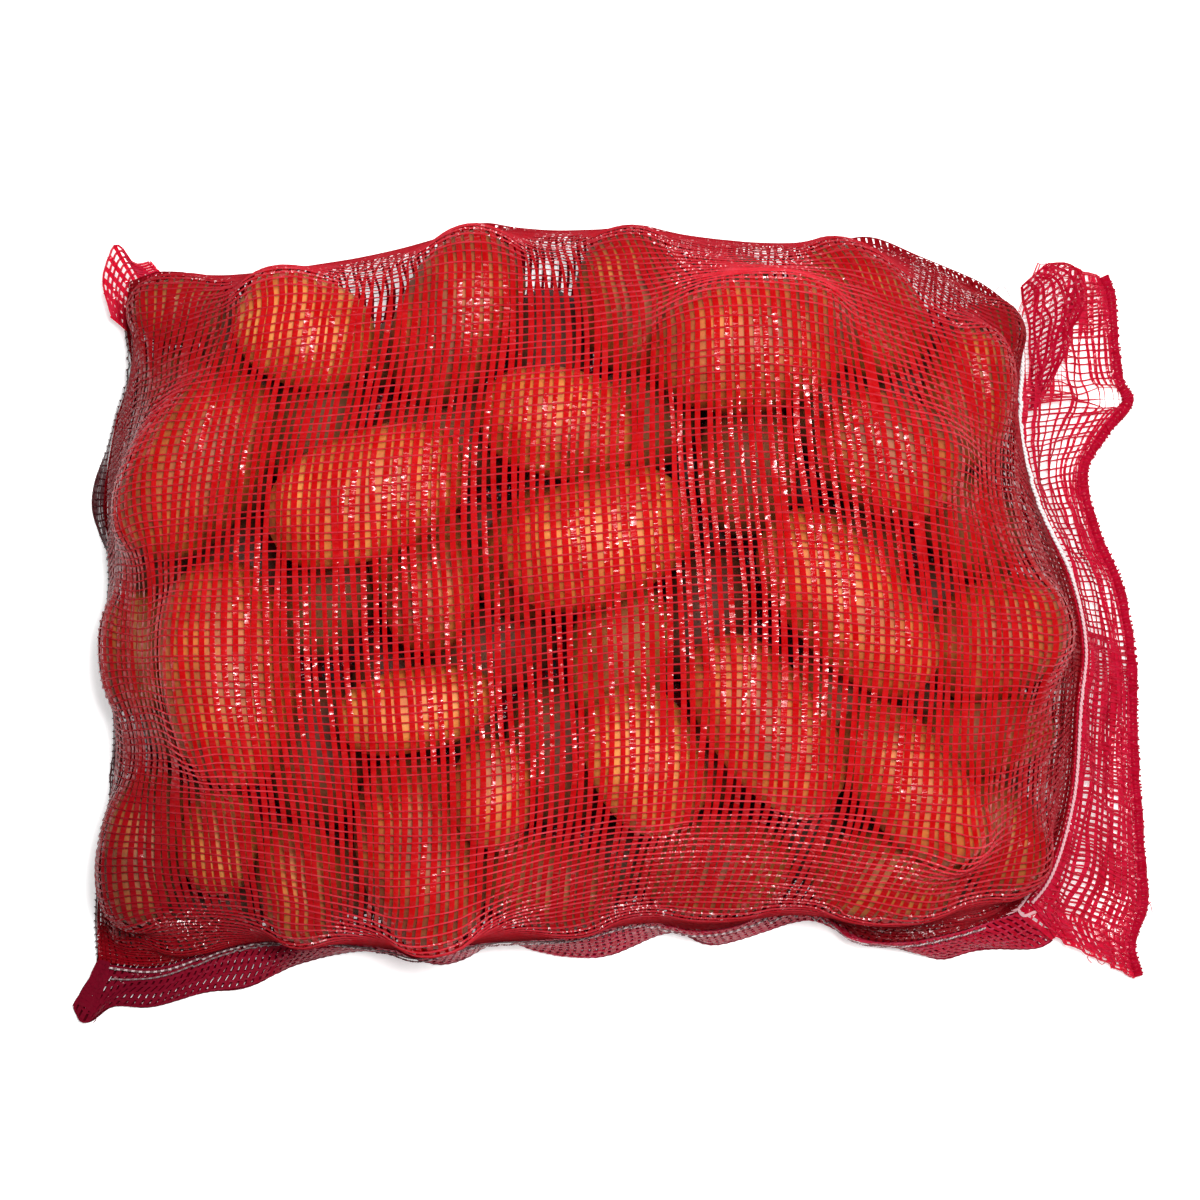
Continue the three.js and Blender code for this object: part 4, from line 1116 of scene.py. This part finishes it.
for name, ends, radius, material, slot in (
        ("frayed_threads", FRAYED_THREADS, 0.16, dense_thread, "net_crimson"),
        ("stitch_ends", STITCH_ENDS, 0.6, yarn, "thread_white"),
        ("loose_end", LOOSE_END, 0.14, grey_yarn, "thread_white")):
    x, y, z = np.moveaxis(np.array(ends, float), -1, 0)
    paths = np.stack([(x - MIDDLE_ACROSS) * PIXEL, (MIDDLE_DOWN - y) * PIXEL, z], axis=-1)
    rings, marks = cord_rings(between(paths, 6), radius, radius, 4)
    piece(name, strips(name, rings, marks), material, slot)


# ------------------------------------------------------------ floor, light and camera
def lamp(name, at, towards, size, power):
    data = bpy.data.lights.new(name, "AREA")
    data.shape, data.size, data.energy = "SQUARE", size, power
    made = bpy.data.objects.new(name, data)
    made.location = at
    made.rotation_euler = (Vector(towards) - Vector(at)).to_track_quat("-Z", "Y").to_euler()
    bpy.context.scene.collection.objects.link(made)


SHADOW_UNDER_BAG, SHADOW_UNDER_BAG_HALF = (-0.022, 0.005, 0), (0.183, 0.112, 1)   # the painted shadow under the bag: its middle and half size


def white_paper(m):
    """White paper that glows a little, painted light that keeps shadows on it pale; under the bag it
    doesn't glow and is painted dark grey, a painted shadow.
    """
    place = add(m, "TexCoord").outputs["Object"]
    place = add(m, "VectorMath", {0: place, 1: SHADOW_UNDER_BAG}, operation="SUBTRACT").outputs[0]
    place = add(m, "VectorMath", {0: place, 1: SHADOW_UNDER_BAG_HALF}, operation="DIVIDE").outputs[0]
    place = add(m, "VectorMath", {0: place}, operation="ABSOLUTE").outputs[0]
    parts = add(m, "SeparateXYZ", {"Vector": place})
    far = add(m, "Math", {0: parts.outputs["X"], 1: parts.outputs["Y"]}, operation="MAXIMUM")
    # painted shadow: the paper is dark grey under the bag; painted light: it glows only outside
    paper = ramp(m, far.outputs[0], (0.92, "#303030"), (1.0, "#fbfbfb"))
    lift = ramp(m, far.outputs[0], (0.92, "#000000"), (1.0, "#ffffff"))
    return add(m, "BsdfPrincipled", {"Base Color": paper, "Roughness": 0.9,
                                     "Specular IOR Level": 0.1, "Emission Color": lift,
                                     "Emission Strength": 0.42}).outputs[0]


FLOOR_LEVEL = -0.0005    # just under the lowest threads
floor_mesh = bpy.data.meshes.new("floor")
bm = bmesh.new()
bmesh.ops.create_grid(bm, x_segments=1, y_segments=1, size=6)
bm.to_mesh(floor_mesh)
bm.free()
floor = bpy.data.objects.new("floor", floor_mesh)
floor.location.z = FLOOR_LEVEL
bpy.context.scene.collection.objects.link(floor)
floor_mesh.materials.append(finish("white_paper", white_paper))

lamp("softbox", (0.4, 0.45, 2.0), (0, 0, 0.05), 0.9, 27)
lamp("overhead", (0.11, 0.16, 1.45), (0.05, 0.09, 0.1), 0.24, 17)
world = bpy.data.worlds.new("studio")
world.use_nodes = True
world.node_tree.nodes["Background"].inputs["Color"].default_value = linear("#ffffff")
world.node_tree.nodes["Background"].inputs["Strength"].default_value = 0.3
bpy.context.scene.world = world
bpy.context.scene.view_settings.view_transform = "Standard"

CAMERA_AT = (-0.0047, 0.0104, 1.845)
FIELD, FIELD_LEVEL = 0.492, 0.045       # metres across the picture, at this height
camera_data = bpy.data.cameras.new("camera")
camera_data.sensor_width = 36
camera_data.lens = camera_data.sensor_width * (CAMERA_AT[2] - FIELD_LEVEL) / FIELD
camera = bpy.data.objects.new("camera", camera_data)
camera.location = CAMERA_AT
bpy.context.scene.collection.objects.link(camera)
bpy.context.scene.camera = camera
